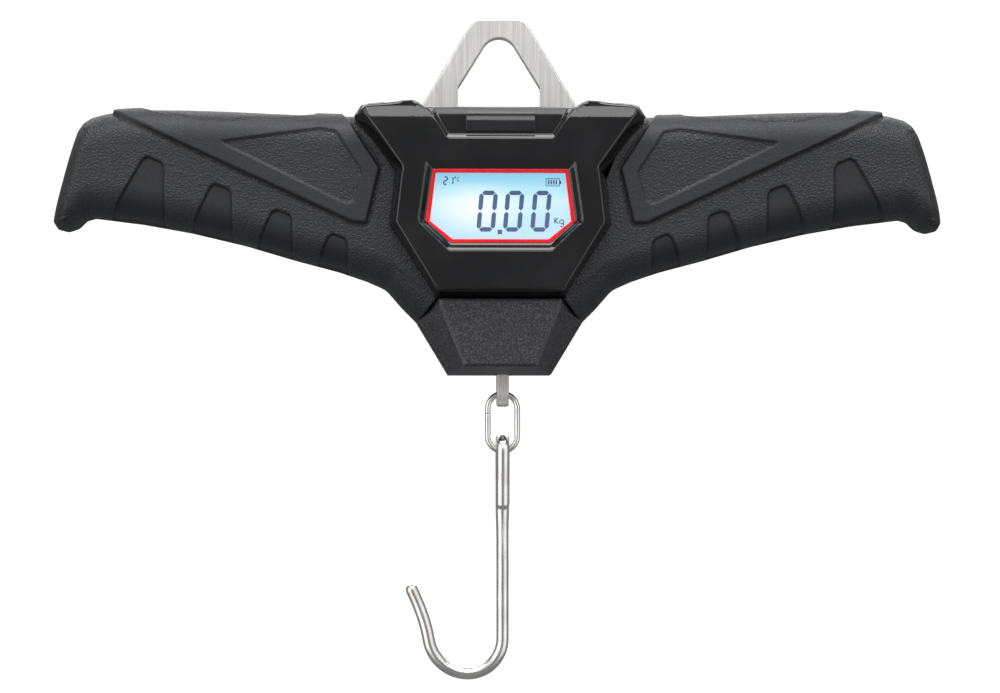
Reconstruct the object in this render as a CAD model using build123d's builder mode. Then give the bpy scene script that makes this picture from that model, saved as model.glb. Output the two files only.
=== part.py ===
"""Two-handed digital fish scale, hung from a steel hanger plate or lifted by its two grips.

Frame: millimetres, +Z up, +X to the right of the person reading the display, the display facing -Y.
The origin is where the scale hangs: the top of the hanger plate's opening, in the plate's mid plane.
The clamshell body splits on the plane Y = 0. The load path runs down that plane: hanger plate,
load cell, hook tab, link ring, hook.
"""

import math
import os

from build123d import *

# ---------------------------------------------------------------- driving dimensions

# Depth layers, front (negative) to rear (positive)
BEZEL_FRONT_Y = -24.0
TRIM_FRONT_Y = -21.7
LENS_FRONT_Y = -20.4
LENS_REAR_Y = -18.6
SHELL_FRONT_Y = -18.5
BEZEL_BASE_Y = -16.9
SHELL_REAR_Y = 19.5
DOOR_REAR_Y = 21.7
WALL = 2.2
FAR = 40.0  # half depth of prisms that cut right through the body

# Central body, right halves of outlines seen from the front, (x, z)
FASCIA_HALF = [(26.9, -26.4), (30.0, -24.6), (49.2, -25.9), (51.8, -29.9), (37.4, -49.5), (39.6, -68.4), (22.7, -94.3)]
FACE_HALF = [(26.4, -26.4), (29.5, -24.6), (47.3, -25.9), (48.7, -28.3), (34.6, -47.9), (37.0, -67.7), (22.4, -91.4)]
BEZEL_TOP_Z = -24.0
BEZEL_TOP_R = 9.0
BEZEL_CHAMFER = (2.6, 3.0)  # depth and height of the bevel along the bezel's lower edge
SKIRT = 2.6  # the bezel's skirt around the front shell's raised front
SEAT_GAP = 0.1
BADGE_HALF = [(29.5, -20.0), (18.6, -37.6)]
BADGE_DEPTH = 1.1
PLATE_HALF = [(12.2, -28.2), (12.2, -35.8)]
PLATE_T = 0.7

# Nose cover and the shells' chin inside it
NOSE_HALF = [(22.7, -94.8), (29.6, -102.7), (18.4, -121.3)]
NOSE_FACE_HALF = [(21.6, -94.8), (20.9, -97.5), (12.6, -118.6)]
NOSE_HOLLOW_HALF = [(19.0, -97.2), (11.5, -118.0)]
NOSE_SIDE_Y = 9.0
NOSE_FRONT_Y = -20.3
NOSE_REAR_Y = 19.0
NOSE_WALL = 2.4
CHIN_HALF = [(17.0, -92.0), (13.0, -118.0)]
CHIN_Y = 8.3
CHIN_WALL = 1.6

# Display opening, right halves: at the bezel's face, at the trim's outside and at its inside
RECESS_HALF = [(26.2, -46.4), (29.1, -67.2), (18.4, -77.8)]
TRIM_OUTER_HALF = [(23.9, -48.9), (26.6, -67.4), (17.6, -75.2)]
TRIM_INNER_HALF = [(22.8, -50.4), (24.9, -67.4), (16.9, -73.8)]
LENS_LIP = 1.8

# Right handle: outline seen from the front, and rounded profiles laid along three of its edges
HANDLE = [
    (20.0, -28.6),
    (52.0, -28.4),
    (125.0, -26.2),
    (141.0, -27.8),
    (149.5, -31.0),
    (152.2, -36.8),
    (159.9, -66.5),
    (158.5, -69.6),
    (154.0, -70.2),
    (148.0, -65.8),
    (139.0, -65.6),
    (117.0, -69.3),
    (94.5, -74.0),
    (73.8, -80.0),
    (54.0, -85.6),
    (39.8, -91.4),
    (30.0, -102.7),
    (20.0, -115.0),
]
HANDLE_HALF_Y = 17.2
HANDLE_ROUNDING = [  # (start, end, corner radius) of the top, end and bottom edges
    ((10.0, -29.7), (170.0, -24.9), 11.0),
    ((149.4, -25.0), (161.4, -72.5), 6.0),
    ((162.0, -70.3), (148.2, -70.3), 5.0),
    ((148.2, -63.2), (56.0, -85.0), 11.0),
    ((56.0, -84.6), (37.5, -92.0), 10.0),
    ((38.0, -93.4), (26.0, -107.4), 8.0),
]
ROUNDING_REACH = 9.0
GRIP_T = 3.0
CORE_WALL = 2.2

# Raised panel, its inset and the finger notches on the right grip's front, (x, z)
PANEL = [
    (54.6, -30.5),
    (58.4, -28.0),
    (64.0, -28.2),
    (78.0, -30.3),
    (94.5, -31.9),
    (107.0, -31.6),
    (119.0, -29.4),
    (128.0, -27.4),
    (137.5, -27.9),
    (52.0, -67.6),
    (47.6, -68.2),
    (43.2, -48.4),
]
PANEL_RISE = 1.2
INSET = [(99.0, -39.3), (63.8, -34.9), (58.2, -35.8), (48.8, -49.4), (51.9, -59.7), (55.0, -60.6)]
INSET_SINK = 0.7
NOTCHES = [
    [(139.4, -67.5), (126.4, -45.6), (124.4, -44.9), (119.9, -46.8), (119.1, -72.0)],
    [(111.8, -73.5), (102.5, -55.2), (100.6, -54.5), (96.0, -56.3), (95.1, -77.0)],
    [(88.6, -79.5), (80.8, -64.2), (78.6, -63.6), (74.7, -65.0), (74.0, -83.0)],
    [(67.2, -85.5), (60.8, -72.9), (59.0, -72.1), (55.0, -73.6), (54.2, -89.0)],
]
NOTCH_SINK = 0.7

# Hanger plate
HANGER_T = 4.0
HANGER_APEX_R = 6.4
HANGER_OUTLINE = [(9.2, 7.3), (27.5, -23.4), (27.5, -41.0), (9.0, -41.0), (9.0, -54.0)]
HANGER_EYE = [(14.8, -18.2), (14.8, -33.0)]
HANGER_EYE_SLOPE = 61.0
HANGER_SOFT = 0.6

# Load cell, an S-shaped beam
CELL_SIZE = (34.0, 12.0, 48.0)
CELL_TOP_Z = -43.0
CELL_ARM = 13.0
KERF = 2.0
KERF_REACH = 25.0
GAUGE_HOLE_R = 4.5
GAUGE_SIZE = (0.4, 5.0, 9.0)
HANGER_BOLTS_X = 4.8
HANGER_BOLT_Z = -49.0
BOLT_R = 2.0
BOLT_HEAD_R = 3.4
BOLT_HEAD_T = 2.4
FIT = 0.05  # radial clearance of screws and pins

# Hook train
TRAIN_X = 1.3
TAB_T = 4.3
TAB_HALF_Y = 6.0
TAB_TOP_Z = -81.5
TAB_END_Z = -132.7
TAB_EYE_Z = -127.4
TAB_EYE_R = 2.3
TAB_PIN_Z = -86.0
TAB_PIN_R = 2.5
RING_WIRE_R = 1.03
RING_HALF_X = 5.3
RING_TOP_Z = -128.05
RING_LOW_Z = -148.55
RING_JOINT_Z = -135.2
RING_JOINT_GAP = 0.25
HOOK_EYE_WIRE_R = 2.45
HOOK_EYE_R = 4.1
HOOK_LEG_Y = 2.5
HOOK_LEG_TOP_Z = -160.5
HOOK_LEG_END_Z = -167.4
HOOK_WIRE_R = 2.2
HOOK_CENTRE_Z = -190.0
HOOK_BEND_Z = -215.9
HOOK_BEND_R = 12.35
HOOK_BEND_LEFT_R = 14.3
HOOK_BEND_LEFT_SWEEP = 81.0
HOOK_TIP = (-31.2, -198.4)

# Display stack and main board
DISPLAY_Z = -63.0
LCD_SIZE = (51.0, 28.0)
LCD_FRONT_Y = -16.0
LCD_T = 2.8
BACKLIGHT_SIZE = (50.4, 21.0)
BACKLIGHT_T = 2.4
HOLDER_SIZE = (54.0, 31.0)
HOLDER_OPENING = (48.6, 27.2)
HOLDER_REAR_Y = -9.5
ZEBRA_SIZE = (47.0, 1.8)
ZEBRA_Z = 12.2
BOARD_FRONT_Y = -9.4
BOARD_T = 1.6
BOARD_SIZE = (60.0, 31.0)
BOARD_POST_X = 28.8
BOARD_POST_ZS = (-50.2, -75.0)
BOARD_POST_R = 1.55
BOARD_SCREW_R = 0.8
CHIPS = [(22.5, -57.0, 7.0, 7.0), (23.0, -68.5, 5.0, 4.0), (-22.5, -59.5, 5.0, 4.0)]
CHIP_T = 1.4

# Battery bay: three AAA cells side by side, upright
AAA_R = 5.25
AAA_LENGTH = 43.6
AAA_NUB = (1.9, 0.9)
AAA_PITCH = 11.2
AAA_Y = 13.8
BAY_HALF_X = 18.0
BAY_TOP_Z = -39.0
BAY_BOTTOM_Z = -87.2
BAY_FRONT_Y = 7.0
BAY_REAR_Y = 19.3
BAY_WALL = 1.2
CONTACT_T = 0.4
DOOR_HALF = [(21.0, -36.6), (21.0, -84.0), (11.5, -94.0)]
GASKET_W = 1.2
GASKET_T = 0.8
DOOR_SCREW_Z = -89.7
DOOR_SCREW_R = 1.25
DOOR_SCREW_HEAD = (2.2, 1.3)
DOOR_BOSS_R = 2.2

# Rear buttons and their switches
BUTTON_XS = (-14.0, 0.0, 14.0)
BUTTON_Z = -32.0
BUTTON_SIZE = (9.0, 3.8)
BUTTON_REAR_Y = 20.7
BUTTON_GAP = 0.2
BUTTON_RIM = 0.8
BUTTON_RIM_T = 0.7
BUTTON_STEM_R = 1.2
BUTTON_STEM_Y = 15.4
SWITCH_SIZE = (6.0, 5.2, 2.6)
SWITCH_TOP_Y = 14.2
BUTTON_BOARD_SIZE = (54.0, 6.4)
BUTTON_POST_X = 24.5

SHELL_SCREWS = [(43.5, -35.0), (34.1, -66.0), (20.2, -89.9)]
SHELL_SCREW_R = 1.5
SHELL_SCREW_HEAD = (2.3, 1.9)
SHELL_SCREW_END_Y = -9.0
BOSS_R = 2.6

# ---------------------------------------------------------------- helpers


def both_sides(half):
    """The closed outline whose right half is given, top to bottom, mirrored in X = 0."""
    return list(half) + [(-x, z) for x, z in reversed(half)]


def grown(outline, distance):
    """The outline with every side moved outwards by distance (inwards if negative)."""
    count = len(outline)
    area = sum(outline[i - 1][0] * outline[i][1] - outline[i][0] * outline[i - 1][1] for i in range(count))
    shift = math.copysign(distance, distance * area)
    moved = []
    for before, here, after in zip(outline[-1:] + outline[:-1], outline, outline[1:] + outline[:1]):
        a = Vector(here[0] - before[0], here[1] - before[1]).normalized()
        b = Vector(after[0] - here[0], after[1] - here[1]).normalized()
        stretch = shift / (1 + a.dot(b))
        moved.append((here[0] + stretch * (a.Y + b.Y), here[1] - stretch * (a.X + b.X)))
    return moved


def front_plane(y):
    """A sketch plane facing the reader at depth y: sketch (x, y) is (X, Z), extruding towards -Y."""
    return Plane.XZ.offset(-y)


def prism(points, y_front, y_rear, grow=0.0):
    """A prism on a closed (x, z) outline, grown outwards or shrunk, between two depths."""
    with BuildPart() as body:
        with BuildSketch(front_plane(y_rear)):
            with BuildLine():
                Polyline(*grown(points, grow), close=True)
            make_face()
        extrude(amount=y_rear - y_front)
    return body.part


def tapered(base, base_y, face, face_y):
    """A solid with flat sides between two outlines of as many points at two depths."""
    with BuildPart() as body:
        for points, y in ((base, base_y), (face, face_y)):
            with BuildSketch(front_plane(y)):
                with BuildLine():
                    Polyline(*points, close=True)
                make_face()
        loft(ruled=True)
    return body.part


def post(x, z, y_front, y_rear, radius):
    """A round bar along Y between two depths."""
    with BuildPart() as body:
        with BuildSketch(front_plane(y_rear)):
            with Locations((x, z)):
                Circle(radius)
        extrude(amount=y_rear - y_front)
    return body.part


def block(size_x, size_z, y_front, y_rear, x=0.0, z=DISPLAY_Z):
    """A rectangular block between two depths, centred on (x, z)."""
    with BuildPart() as body:
        with BuildSketch(front_plane(y_rear)):
            with Locations((x, z)):
                Rectangle(size_x, size_z)
        extrude(amount=y_rear - y_front)
    return body.part


def mirrored(body):
    """The same body on the other side of X = 0."""
    return mirror(body, about=Plane.YZ, mode=Mode.PRIVATE)


def largest(body):
    """The biggest solid of a body, without the crumbs its cuts leave."""
    return Part(body.solids().sort_by(SortBy.VOLUME)[-1].wrapped)


def handle_form(inset):
    """The right handle's outer form moved inwards by inset (outwards if negative)."""
    half_y = HANDLE_HALF_Y - inset
    with BuildPart() as handle:
        with BuildSketch(front_plane(half_y)):
            with BuildLine():
                Polyline(*HANDLE, close=True)
            make_face()
            if inset:
                offset(amount=-inset, kind=Kind.INTERSECTION)
        extrude(amount=2 * half_y)
        for start, end, corner in HANDLE_ROUNDING:
            foot = Vector(start[0], 0, start[1])
            run = Vector(end[0], 0, end[1]) - foot
            outward = Vector(-run.Z, 0, run.X).normalized()
            foot = foot - (outward + run.normalized()) * inset
            radius = corner - min(inset, corner - 1) * 0.9
            plane = Plane(origin=foot, x_dir=(0, 1, 0), z_dir=run)
            side = math.copysign(1, plane.y_dir.dot(outward))
            with BuildSketch(plane, mode=Mode.PRIVATE) as kept:
                with Locations((0, -side * FAR)):
                    Rectangle(2 * half_y, 2 * FAR)
                fillet(kept.vertices().sort_by_distance((0, 0, 0))[:2], radius)
            with BuildSketch(plane):
                with Locations((0, side * (ROUNDING_REACH - corner) / 2)):
                    Rectangle(2 * FAR, ROUNDING_REACH + corner)
                add(kept.sketch_local, mode=Mode.SUBTRACT)
            extrude(amount=run.length + 2 * inset, mode=Mode.SUBTRACT)
    return largest(handle.part)


def bezel_form(sink):
    """The bezel's outside, rounded over at the top and bevelled below, moved back by sink."""
    face_y = BEZEL_FRONT_Y
    with BuildPart() as form:
        add(tapered(both_sides(FASCIA_HALF), BEZEL_BASE_Y, both_sides(FACE_HALF), face_y))
        with BuildSketch(Plane.YZ.offset(-100)) as profile:
            with BuildLine():
                Polyline(
                    (0, BEZEL_TOP_Z),
                    (face_y, BEZEL_TOP_Z),
                    (face_y, FACE_HALF[-1][1]),
                    (face_y + BEZEL_CHAMFER[0], FACE_HALF[-1][1] - BEZEL_CHAMFER[1]),
                    (0, FACE_HALF[-1][1] - BEZEL_CHAMFER[1]),
                    close=True,
                )
            make_face()
            corner = profile.vertices().sort_by_distance((-100, face_y, BEZEL_TOP_Z))[0]
            fillet(corner, BEZEL_TOP_R)
        extrude(amount=200, mode=Mode.INTERSECT)
    return Pos(0, sink, 0) * form.part


def lead(points, radius):
    """A wire along a route of straight runs joined by arcs as large as the runs allow."""
    radii = []
    for before, here, after in zip(points, points[1:], points[2:]):
        a, b = Vector(*here) - Vector(*before), Vector(*after) - Vector(*here)
        half_turn = math.radians(a.get_angle(b)) / 2
        radii.append(0.45 * min(a.length, b.length) / math.tan(half_turn))
    with BuildPart() as wire:
        with BuildLine() as route:
            FilletPolyline(*points, radius=radii if len(radii) > 1 else radii[0])
        with BuildSketch(Plane(origin=points[0], z_dir=Vector(*points[1]) - Vector(*points[0]))):
            Circle(radius)
        sweep(path=route.line)
    return wire.part


# ---------------------------------------------------------------- shared forms

fascia = both_sides(FASCIA_HALF)
nose_outline = both_sides(NOSE_HALF)
body_outline = both_sides(FASCIA_HALF[:-1] + NOSE_HALF)
body_block = prism(body_outline, -FAR, FAR)
body_block_walled = prism(body_outline, -FAR, FAR, grow=CORE_WALL)

handle_outer = handle_form(0.0) - body_block
handle_core = handle_form(GRIP_T) - body_block
handle_hollow = handle_form(GRIP_T + CORE_WALL) - body_block_walled

leg_middle_x = (HANGER_EYE[0][0] + HANGER_OUTLINE[1][0]) / 2
leg_width = HANGER_OUTLINE[1][0] - HANGER_EYE[0][0]
leg_slot = Pos(leg_middle_x, 0, -27) * Box(leg_width + 0.2, HANGER_T + 0.2, 8)
front_half = Pos(0, -FAR, 0) * Box(500, 2 * FAR, 600)
rear_half = Pos(0, FAR, 0) * Box(500, 2 * FAR, 600)
chin = prism(both_sides(CHIN_HALF), -CHIN_Y, CHIN_Y)
chin_hollow = prism(
    both_sides([(CHIN_HALF[0][0] - CHIN_WALL, -90.0), (CHIN_HALF[1][0] - CHIN_WALL, CHIN_HALF[1][1] + CHIN_WALL)]),
    CHIN_WALL - CHIN_Y,
    CHIN_Y - CHIN_WALL,
)
gland_seat = Pos(TRAIN_X, 0, CHIN_HALF[1][1]) * Box(TAB_T + 3.2, 2 * TAB_HALF_Y + 0.9, 6)

# ---------------------------------------------------------------- shells

with BuildPart() as front_shell:
    add(prism(fascia, BEZEL_BASE_Y, 0))
    add(prism(fascia, SHELL_FRONT_Y, 0, grow=-SKIRT - SEAT_GAP))
    add(handle_core & front_half)
    add(mirrored(handle_core) & front_half)
    add(chin & front_half)
    add(prism(fascia, SHELL_FRONT_Y + WALL, FAR, grow=-WALL), mode=Mode.SUBTRACT)
    add(handle_hollow, mode=Mode.SUBTRACT)
    add(mirrored(handle_hollow), mode=Mode.SUBTRACT)
    add(chin_hollow, mode=Mode.SUBTRACT)
    add(gland_seat, mode=Mode.SUBTRACT)
    add(leg_slot, mode=Mode.SUBTRACT)
    add(mirrored(leg_slot), mode=Mode.SUBTRACT)
    add(prism(both_sides(TRIM_INNER_HALF), -FAR, FAR, grow=0.4), mode=Mode.SUBTRACT)
    for side in (-1, 1):
        for x, z in SHELL_SCREWS:
            add(post(side * x, z, SHELL_FRONT_Y + WALL, 0, BOSS_R))
            add(post(side * x, z, SHELL_SCREW_END_Y - 0.2, 0, SHELL_SCREW_R + FIT), mode=Mode.SUBTRACT)
        for z in BOARD_POST_ZS:
            add(post(side * BOARD_POST_X, z, SHELL_FRONT_Y + WALL, BOARD_FRONT_Y, BOARD_POST_R))
            hole = post(side * BOARD_POST_X, z, BOARD_FRONT_Y - 5, BOARD_FRONT_Y, BOARD_SCREW_R + FIT)
            add(hole, mode=Mode.SUBTRACT)
front_shell.part.label = "front_shell"

with BuildPart() as rear_shell:
    add(prism(fascia, 0, SHELL_REAR_Y))
    rear_rim = rear_shell.faces().sort_by(Axis.Y)[-1].edges()
    chamfer(rear_rim, 1.5)
    add(handle_core & rear_half)
    add(mirrored(handle_core) & rear_half)
    add(chin & rear_half)
    add(prism(fascia, -FAR, SHELL_REAR_Y - WALL, grow=-WALL), mode=Mode.SUBTRACT)
    add(handle_hollow, mode=Mode.SUBTRACT)
    add(mirrored(handle_hollow), mode=Mode.SUBTRACT)
    add(chin_hollow, mode=Mode.SUBTRACT)
    add(gland_seat, mode=Mode.SUBTRACT)
    add(leg_slot, mode=Mode.SUBTRACT)
    add(mirrored(leg_slot), mode=Mode.SUBTRACT)
    bay_height = BAY_TOP_Z - BAY_BOTTOM_Z
    bay_z = (BAY_TOP_Z + BAY_BOTTOM_Z) / 2
    bay_hole = block(2 * BAY_HALF_X + 0.4, bay_height + 0.4, 10, FAR, z=bay_z)
    add(bay_hole, mode=Mode.SUBTRACT)
    add(post(0, DOOR_SCREW_Z, 9.0, SHELL_REAR_Y - WALL, DOOR_BOSS_R))
    add(post(0, DOOR_SCREW_Z, 10.5, FAR, DOOR_SCREW_R + FIT), mode=Mode.SUBTRACT)
    for x in BUTTON_XS:
        opening = block(BUTTON_SIZE[0] + 2 * BUTTON_GAP, BUTTON_SIZE[1] + 2 * BUTTON_GAP, 10, FAR, x, BUTTON_Z)
        add(opening, mode=Mode.SUBTRACT)
    for side in (-1, 1):
        x = side * BUTTON_POST_X
        switch_base_y = SWITCH_TOP_Y - SWITCH_SIZE[2]
        add(post(x, BUTTON_Z, switch_base_y, SHELL_REAR_Y - WALL, BOARD_POST_R))
        add(post(x, BUTTON_Z, switch_base_y, switch_base_y + 4, BOARD_SCREW_R + FIT), mode=Mode.SUBTRACT)
        for x, z in SHELL_SCREWS:
            add(post(side * x, z, 0, SHELL_REAR_Y - WALL, BOSS_R))
            add(post(side * x, z, 0, FAR, SHELL_SCREW_R + FIT), mode=Mode.SUBTRACT)
            sunk = SHELL_REAR_Y - SHELL_SCREW_HEAD[1] - 0.1
            add(post(side * x, z, sunk, FAR, SHELL_SCREW_HEAD[0] + FIT), mode=Mode.SUBTRACT)
rear_shell.part.label = "rear_shell"

with BuildPart() as nose_cover:
    nose_face = both_sides(NOSE_FACE_HALF)
    add(prism(nose_outline, -NOSE_SIDE_Y, NOSE_SIDE_Y))
    add(tapered(nose_outline, -NOSE_SIDE_Y, nose_face, NOSE_FRONT_Y))
    add(tapered(nose_outline, NOSE_SIDE_Y, nose_face, NOSE_REAR_Y))
    front_edges = nose_cover.faces().sort_by(Axis.Y)[0].edges()
    rear_edges = nose_cover.faces().sort_by(Axis.Y)[-1].edges()
    chamfer(front_edges + rear_edges, 0.8)
    add(prism(nose_outline, -NOSE_SIDE_Y, NOSE_SIDE_Y, grow=-NOSE_WALL), mode=Mode.SUBTRACT)
    inner_face_depth = NOSE_SIDE_Y + 6.0
    add(prism(both_sides(NOSE_HOLLOW_HALF), -inner_face_depth, inner_face_depth), mode=Mode.SUBTRACT)
    chin_seat = prism(both_sides([(CHIN_HALF[0][0] + 0.7, -90.0), (CHIN_HALF[1][0] + 0.1, -118.1)]), -8.4, 8.4)
    add(chin_seat, mode=Mode.SUBTRACT)
    with Locations((TRAIN_X, 0, NOSE_HALF[-1][1])):
        Box(TAB_T + 2.0, 2 * TAB_HALF_Y + 2.0, 12, mode=Mode.SUBTRACT)
nose_cover.part.label = "nose_cover"

# ---------------------------------------------------------------- grips

panel_skin = handle_form(-PANEL_RISE) - handle_form(1.0)
above_inset_floor = handle_form(-PANEL_RISE - 2) - handle_form(INSET_SINK - PANEL_RISE)
above_notch_floor = handle_form(-2) - handle_form(NOTCH_SINK)

grip_panel = panel_skin & prism(PANEL, -FAR, 0)

with BuildPart() as right_grip_front:
    add((handle_outer & front_half) - handle_core)
    add(grip_panel)
    add(above_inset_floor & prism(INSET, -FAR, 0), mode=Mode.SUBTRACT)
    for notch in NOTCHES:
        add(above_notch_floor & prism(notch, -FAR, 0), mode=Mode.SUBTRACT)
right_grip_front.part.label = "right_grip_front"

with BuildPart() as right_grip_rear:
    add((handle_outer & rear_half) - handle_core)
right_grip_rear.part.label = "right_grip_rear"

with BuildPart() as left_grip_front:
    add(mirrored(right_grip_front.part))
left_grip_front.part.label = "left_grip_front"

with BuildPart() as left_grip_rear:
    add(mirrored(right_grip_rear.part))
left_grip_rear.part.label = "left_grip_rear"

# ---------------------------------------------------------------- display front

trim_outer = both_sides(TRIM_OUTER_HALF)
trim_inner = both_sides(TRIM_INNER_HALF)

with BuildPart() as display_bezel:
    add(bezel_form(0))
    add(prism(fascia, SHELL_FRONT_Y, FAR, grow=-SKIRT), mode=Mode.SUBTRACT)
    add(tapered(trim_outer, TRIM_FRONT_Y, both_sides(RECESS_HALF), BEZEL_FRONT_Y), mode=Mode.SUBTRACT)
    add(prism(trim_outer, -FAR, FAR, grow=SEAT_GAP), mode=Mode.SUBTRACT)
    add(prism(trim_outer, LENS_FRONT_Y - 0.1, FAR, grow=LENS_LIP + SEAT_GAP), mode=Mode.SUBTRACT)
    add(prism(both_sides(BADGE_HALF), -FAR, FAR) - bezel_form(BADGE_DEPTH), mode=Mode.SUBTRACT)
display_bezel.part.label = "display_bezel"

with BuildPart() as name_plate:
    add(bezel_form(BADGE_DEPTH - PLATE_T) - bezel_form(BADGE_DEPTH))
    add(prism(both_sides(PLATE_HALF), -FAR, 0), mode=Mode.INTERSECT)
name_plate.part.label = "name_plate"

with BuildPart() as window_trim:
    add(prism(trim_outer, TRIM_FRONT_Y, LENS_FRONT_Y))
    add(prism(trim_inner, -FAR, FAR), mode=Mode.SUBTRACT)
window_trim.part.label = "window_trim"

with BuildPart() as display_window:
    add(prism(trim_outer, LENS_FRONT_Y, LENS_REAR_Y, grow=LENS_LIP))
display_window.part.label = "display_window"

# ---------------------------------------------------------------- display stack and main board

backlight_front_y = LCD_FRONT_Y + LCD_T
backlight_rear_y = backlight_front_y + BACKLIGHT_T
board_rear_y = BOARD_FRONT_Y + BOARD_T

with BuildPart() as lcd_glass:
    add(block(*LCD_SIZE, LCD_FRONT_Y, backlight_front_y))
lcd_glass.part.label = "lcd_glass"

with BuildPart() as lcd_backlight:
    add(block(*BACKLIGHT_SIZE, backlight_front_y, backlight_rear_y))
lcd_backlight.part.label = "lcd_backlight"

with BuildPart() as lcd_holder:
    add(block(*HOLDER_SIZE, LCD_FRONT_Y, HOLDER_REAR_Y))
    add(block(LCD_SIZE[0] + 0.2, LCD_SIZE[1] + 0.2, LCD_FRONT_Y - 1, backlight_rear_y), mode=Mode.SUBTRACT)
    add(block(*HOLDER_OPENING, LCD_FRONT_Y - 1, HOLDER_REAR_Y + 1), mode=Mode.SUBTRACT)
lcd_holder.part.label = "lcd_holder"

with BuildPart() as zebra_connectors:
    for side in (-1, 1):
        add(block(*ZEBRA_SIZE, backlight_front_y, BOARD_FRONT_Y, z=DISPLAY_Z + side * ZEBRA_Z))
zebra_connectors.part.label = "zebra_connectors"

with BuildPart() as main_board:
    add(block(*BOARD_SIZE, BOARD_FRONT_Y, board_rear_y))
    for side in (-1, 1):
        for z in BOARD_POST_ZS:
            hole = post(side * BOARD_POST_X, z, -FAR, FAR, BOARD_SCREW_R + FIT)
            add(hole, mode=Mode.SUBTRACT)
main_board.part.label = "main_board"

with BuildPart() as board_chips:
    for x, z, width, height in CHIPS:
        add(block(width, height, board_rear_y, board_rear_y + CHIP_T, x, z))
board_chips.part.label = "board_chips"

# ---------------------------------------------------------------- rear buttons

switch_base_y = SWITCH_TOP_Y - SWITCH_SIZE[2]
button_board_front_y = switch_base_y - BOARD_T

with BuildPart() as button_board:
    add(block(*BUTTON_BOARD_SIZE, button_board_front_y, switch_base_y, z=BUTTON_Z))
    for side in (-1, 1):
        hole = post(side * BUTTON_POST_X, BUTTON_Z, -FAR, FAR, BOARD_SCREW_R + FIT)
        add(hole, mode=Mode.SUBTRACT)
button_board.part.label = "button_board"

with BuildPart() as tact_switches:
    for x in BUTTON_XS:
        add(block(SWITCH_SIZE[0], SWITCH_SIZE[1], switch_base_y, SWITCH_TOP_Y - 0.8, x, BUTTON_Z))
        add(post(x, BUTTON_Z, SWITCH_TOP_Y - 0.8, SWITCH_TOP_Y, 1.5))
tact_switches.part.label = "tact_switches"


def push_button(x):
    """A rear push button: cap through the wall, rim behind it, stem over its switch."""
    rim_rear_y = SHELL_REAR_Y - WALL - 0.1
    rim_front_y = rim_rear_y - BUTTON_RIM_T
    with BuildPart() as button:
        add(block(*BUTTON_SIZE, rim_front_y, BUTTON_REAR_Y, x, BUTTON_Z))
        fillet(button.edges().filter_by(Axis.Y), 0.8)
        fillet(button.faces().sort_by(Axis.Y)[-1].edges(), 0.5)
        rim = (BUTTON_SIZE[0] + 2 * BUTTON_RIM, BUTTON_SIZE[1] + 2 * BUTTON_RIM)
        add(block(*rim, rim_front_y, rim_rear_y, x, BUTTON_Z))
        add(post(x, BUTTON_Z, BUTTON_STEM_Y, rim_front_y, BUTTON_STEM_R))
    return button.part


with BuildPart() as power_button:
    add(push_button(BUTTON_XS[0]))
power_button.part.label = "power_button"

with BuildPart() as unit_button:
    add(push_button(BUTTON_XS[1]))
unit_button.part.label = "unit_button"

with BuildPart() as tare_button:
    add(push_button(BUTTON_XS[2]))
tare_button.part.label = "tare_button"

# ---------------------------------------------------------------- load path

with BuildPart() as hanger_plate:
    with BuildSketch(front_plane(HANGER_T / 2)):
        with BuildLine():
            Polyline(*both_sides(HANGER_OUTLINE), close=True)
        make_face()
        corners = vertices().group_by(Axis.Y)[-1]
        fillet(corners, 4.0)
        tangent = math.radians(90 - HANGER_EYE_SLOPE)
        touch_x = HANGER_APEX_R * math.cos(tangent)
        touch_z = HANGER_APEX_R * (math.sin(tangent) - 1)
        with BuildSketch(front_plane(HANGER_T / 2), mode=Mode.PRIVATE) as eye:
            with BuildLine():
                ThreePointArc((-touch_x, touch_z), (0, 0), (touch_x, touch_z))
                Polyline((touch_x, touch_z), *HANGER_EYE, *[(-x, z) for x, z in HANGER_EYE[::-1]], (-touch_x, touch_z))
            make_face()
            fillet(eye.vertices().filter_by(lambda v: abs(v.Z - HANGER_EYE[0][1]) < 0.1), 3.0)
            fillet(eye.vertices().filter_by(lambda v: abs(v.Z - HANGER_EYE[1][1]) < 0.1), 3.0)
        add(eye.sketch, mode=Mode.SUBTRACT)
        for side in (-1, 1):
            with Locations((side * HANGER_BOLTS_X, HANGER_BOLT_Z)):
                Circle(BOLT_R + FIT, mode=Mode.SUBTRACT)
    extrude(amount=HANGER_T)
    rounded = [f for f in hanger_plate.faces().filter_by(Axis.Y)]
    soft = [e for f in rounded for e in f.edges() if e.center().Z > BUTTON_Z + 8 and e.length > 3]
    chamfer(soft, HANGER_SOFT)
hanger_plate.part.label = "hanger_plate"

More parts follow.
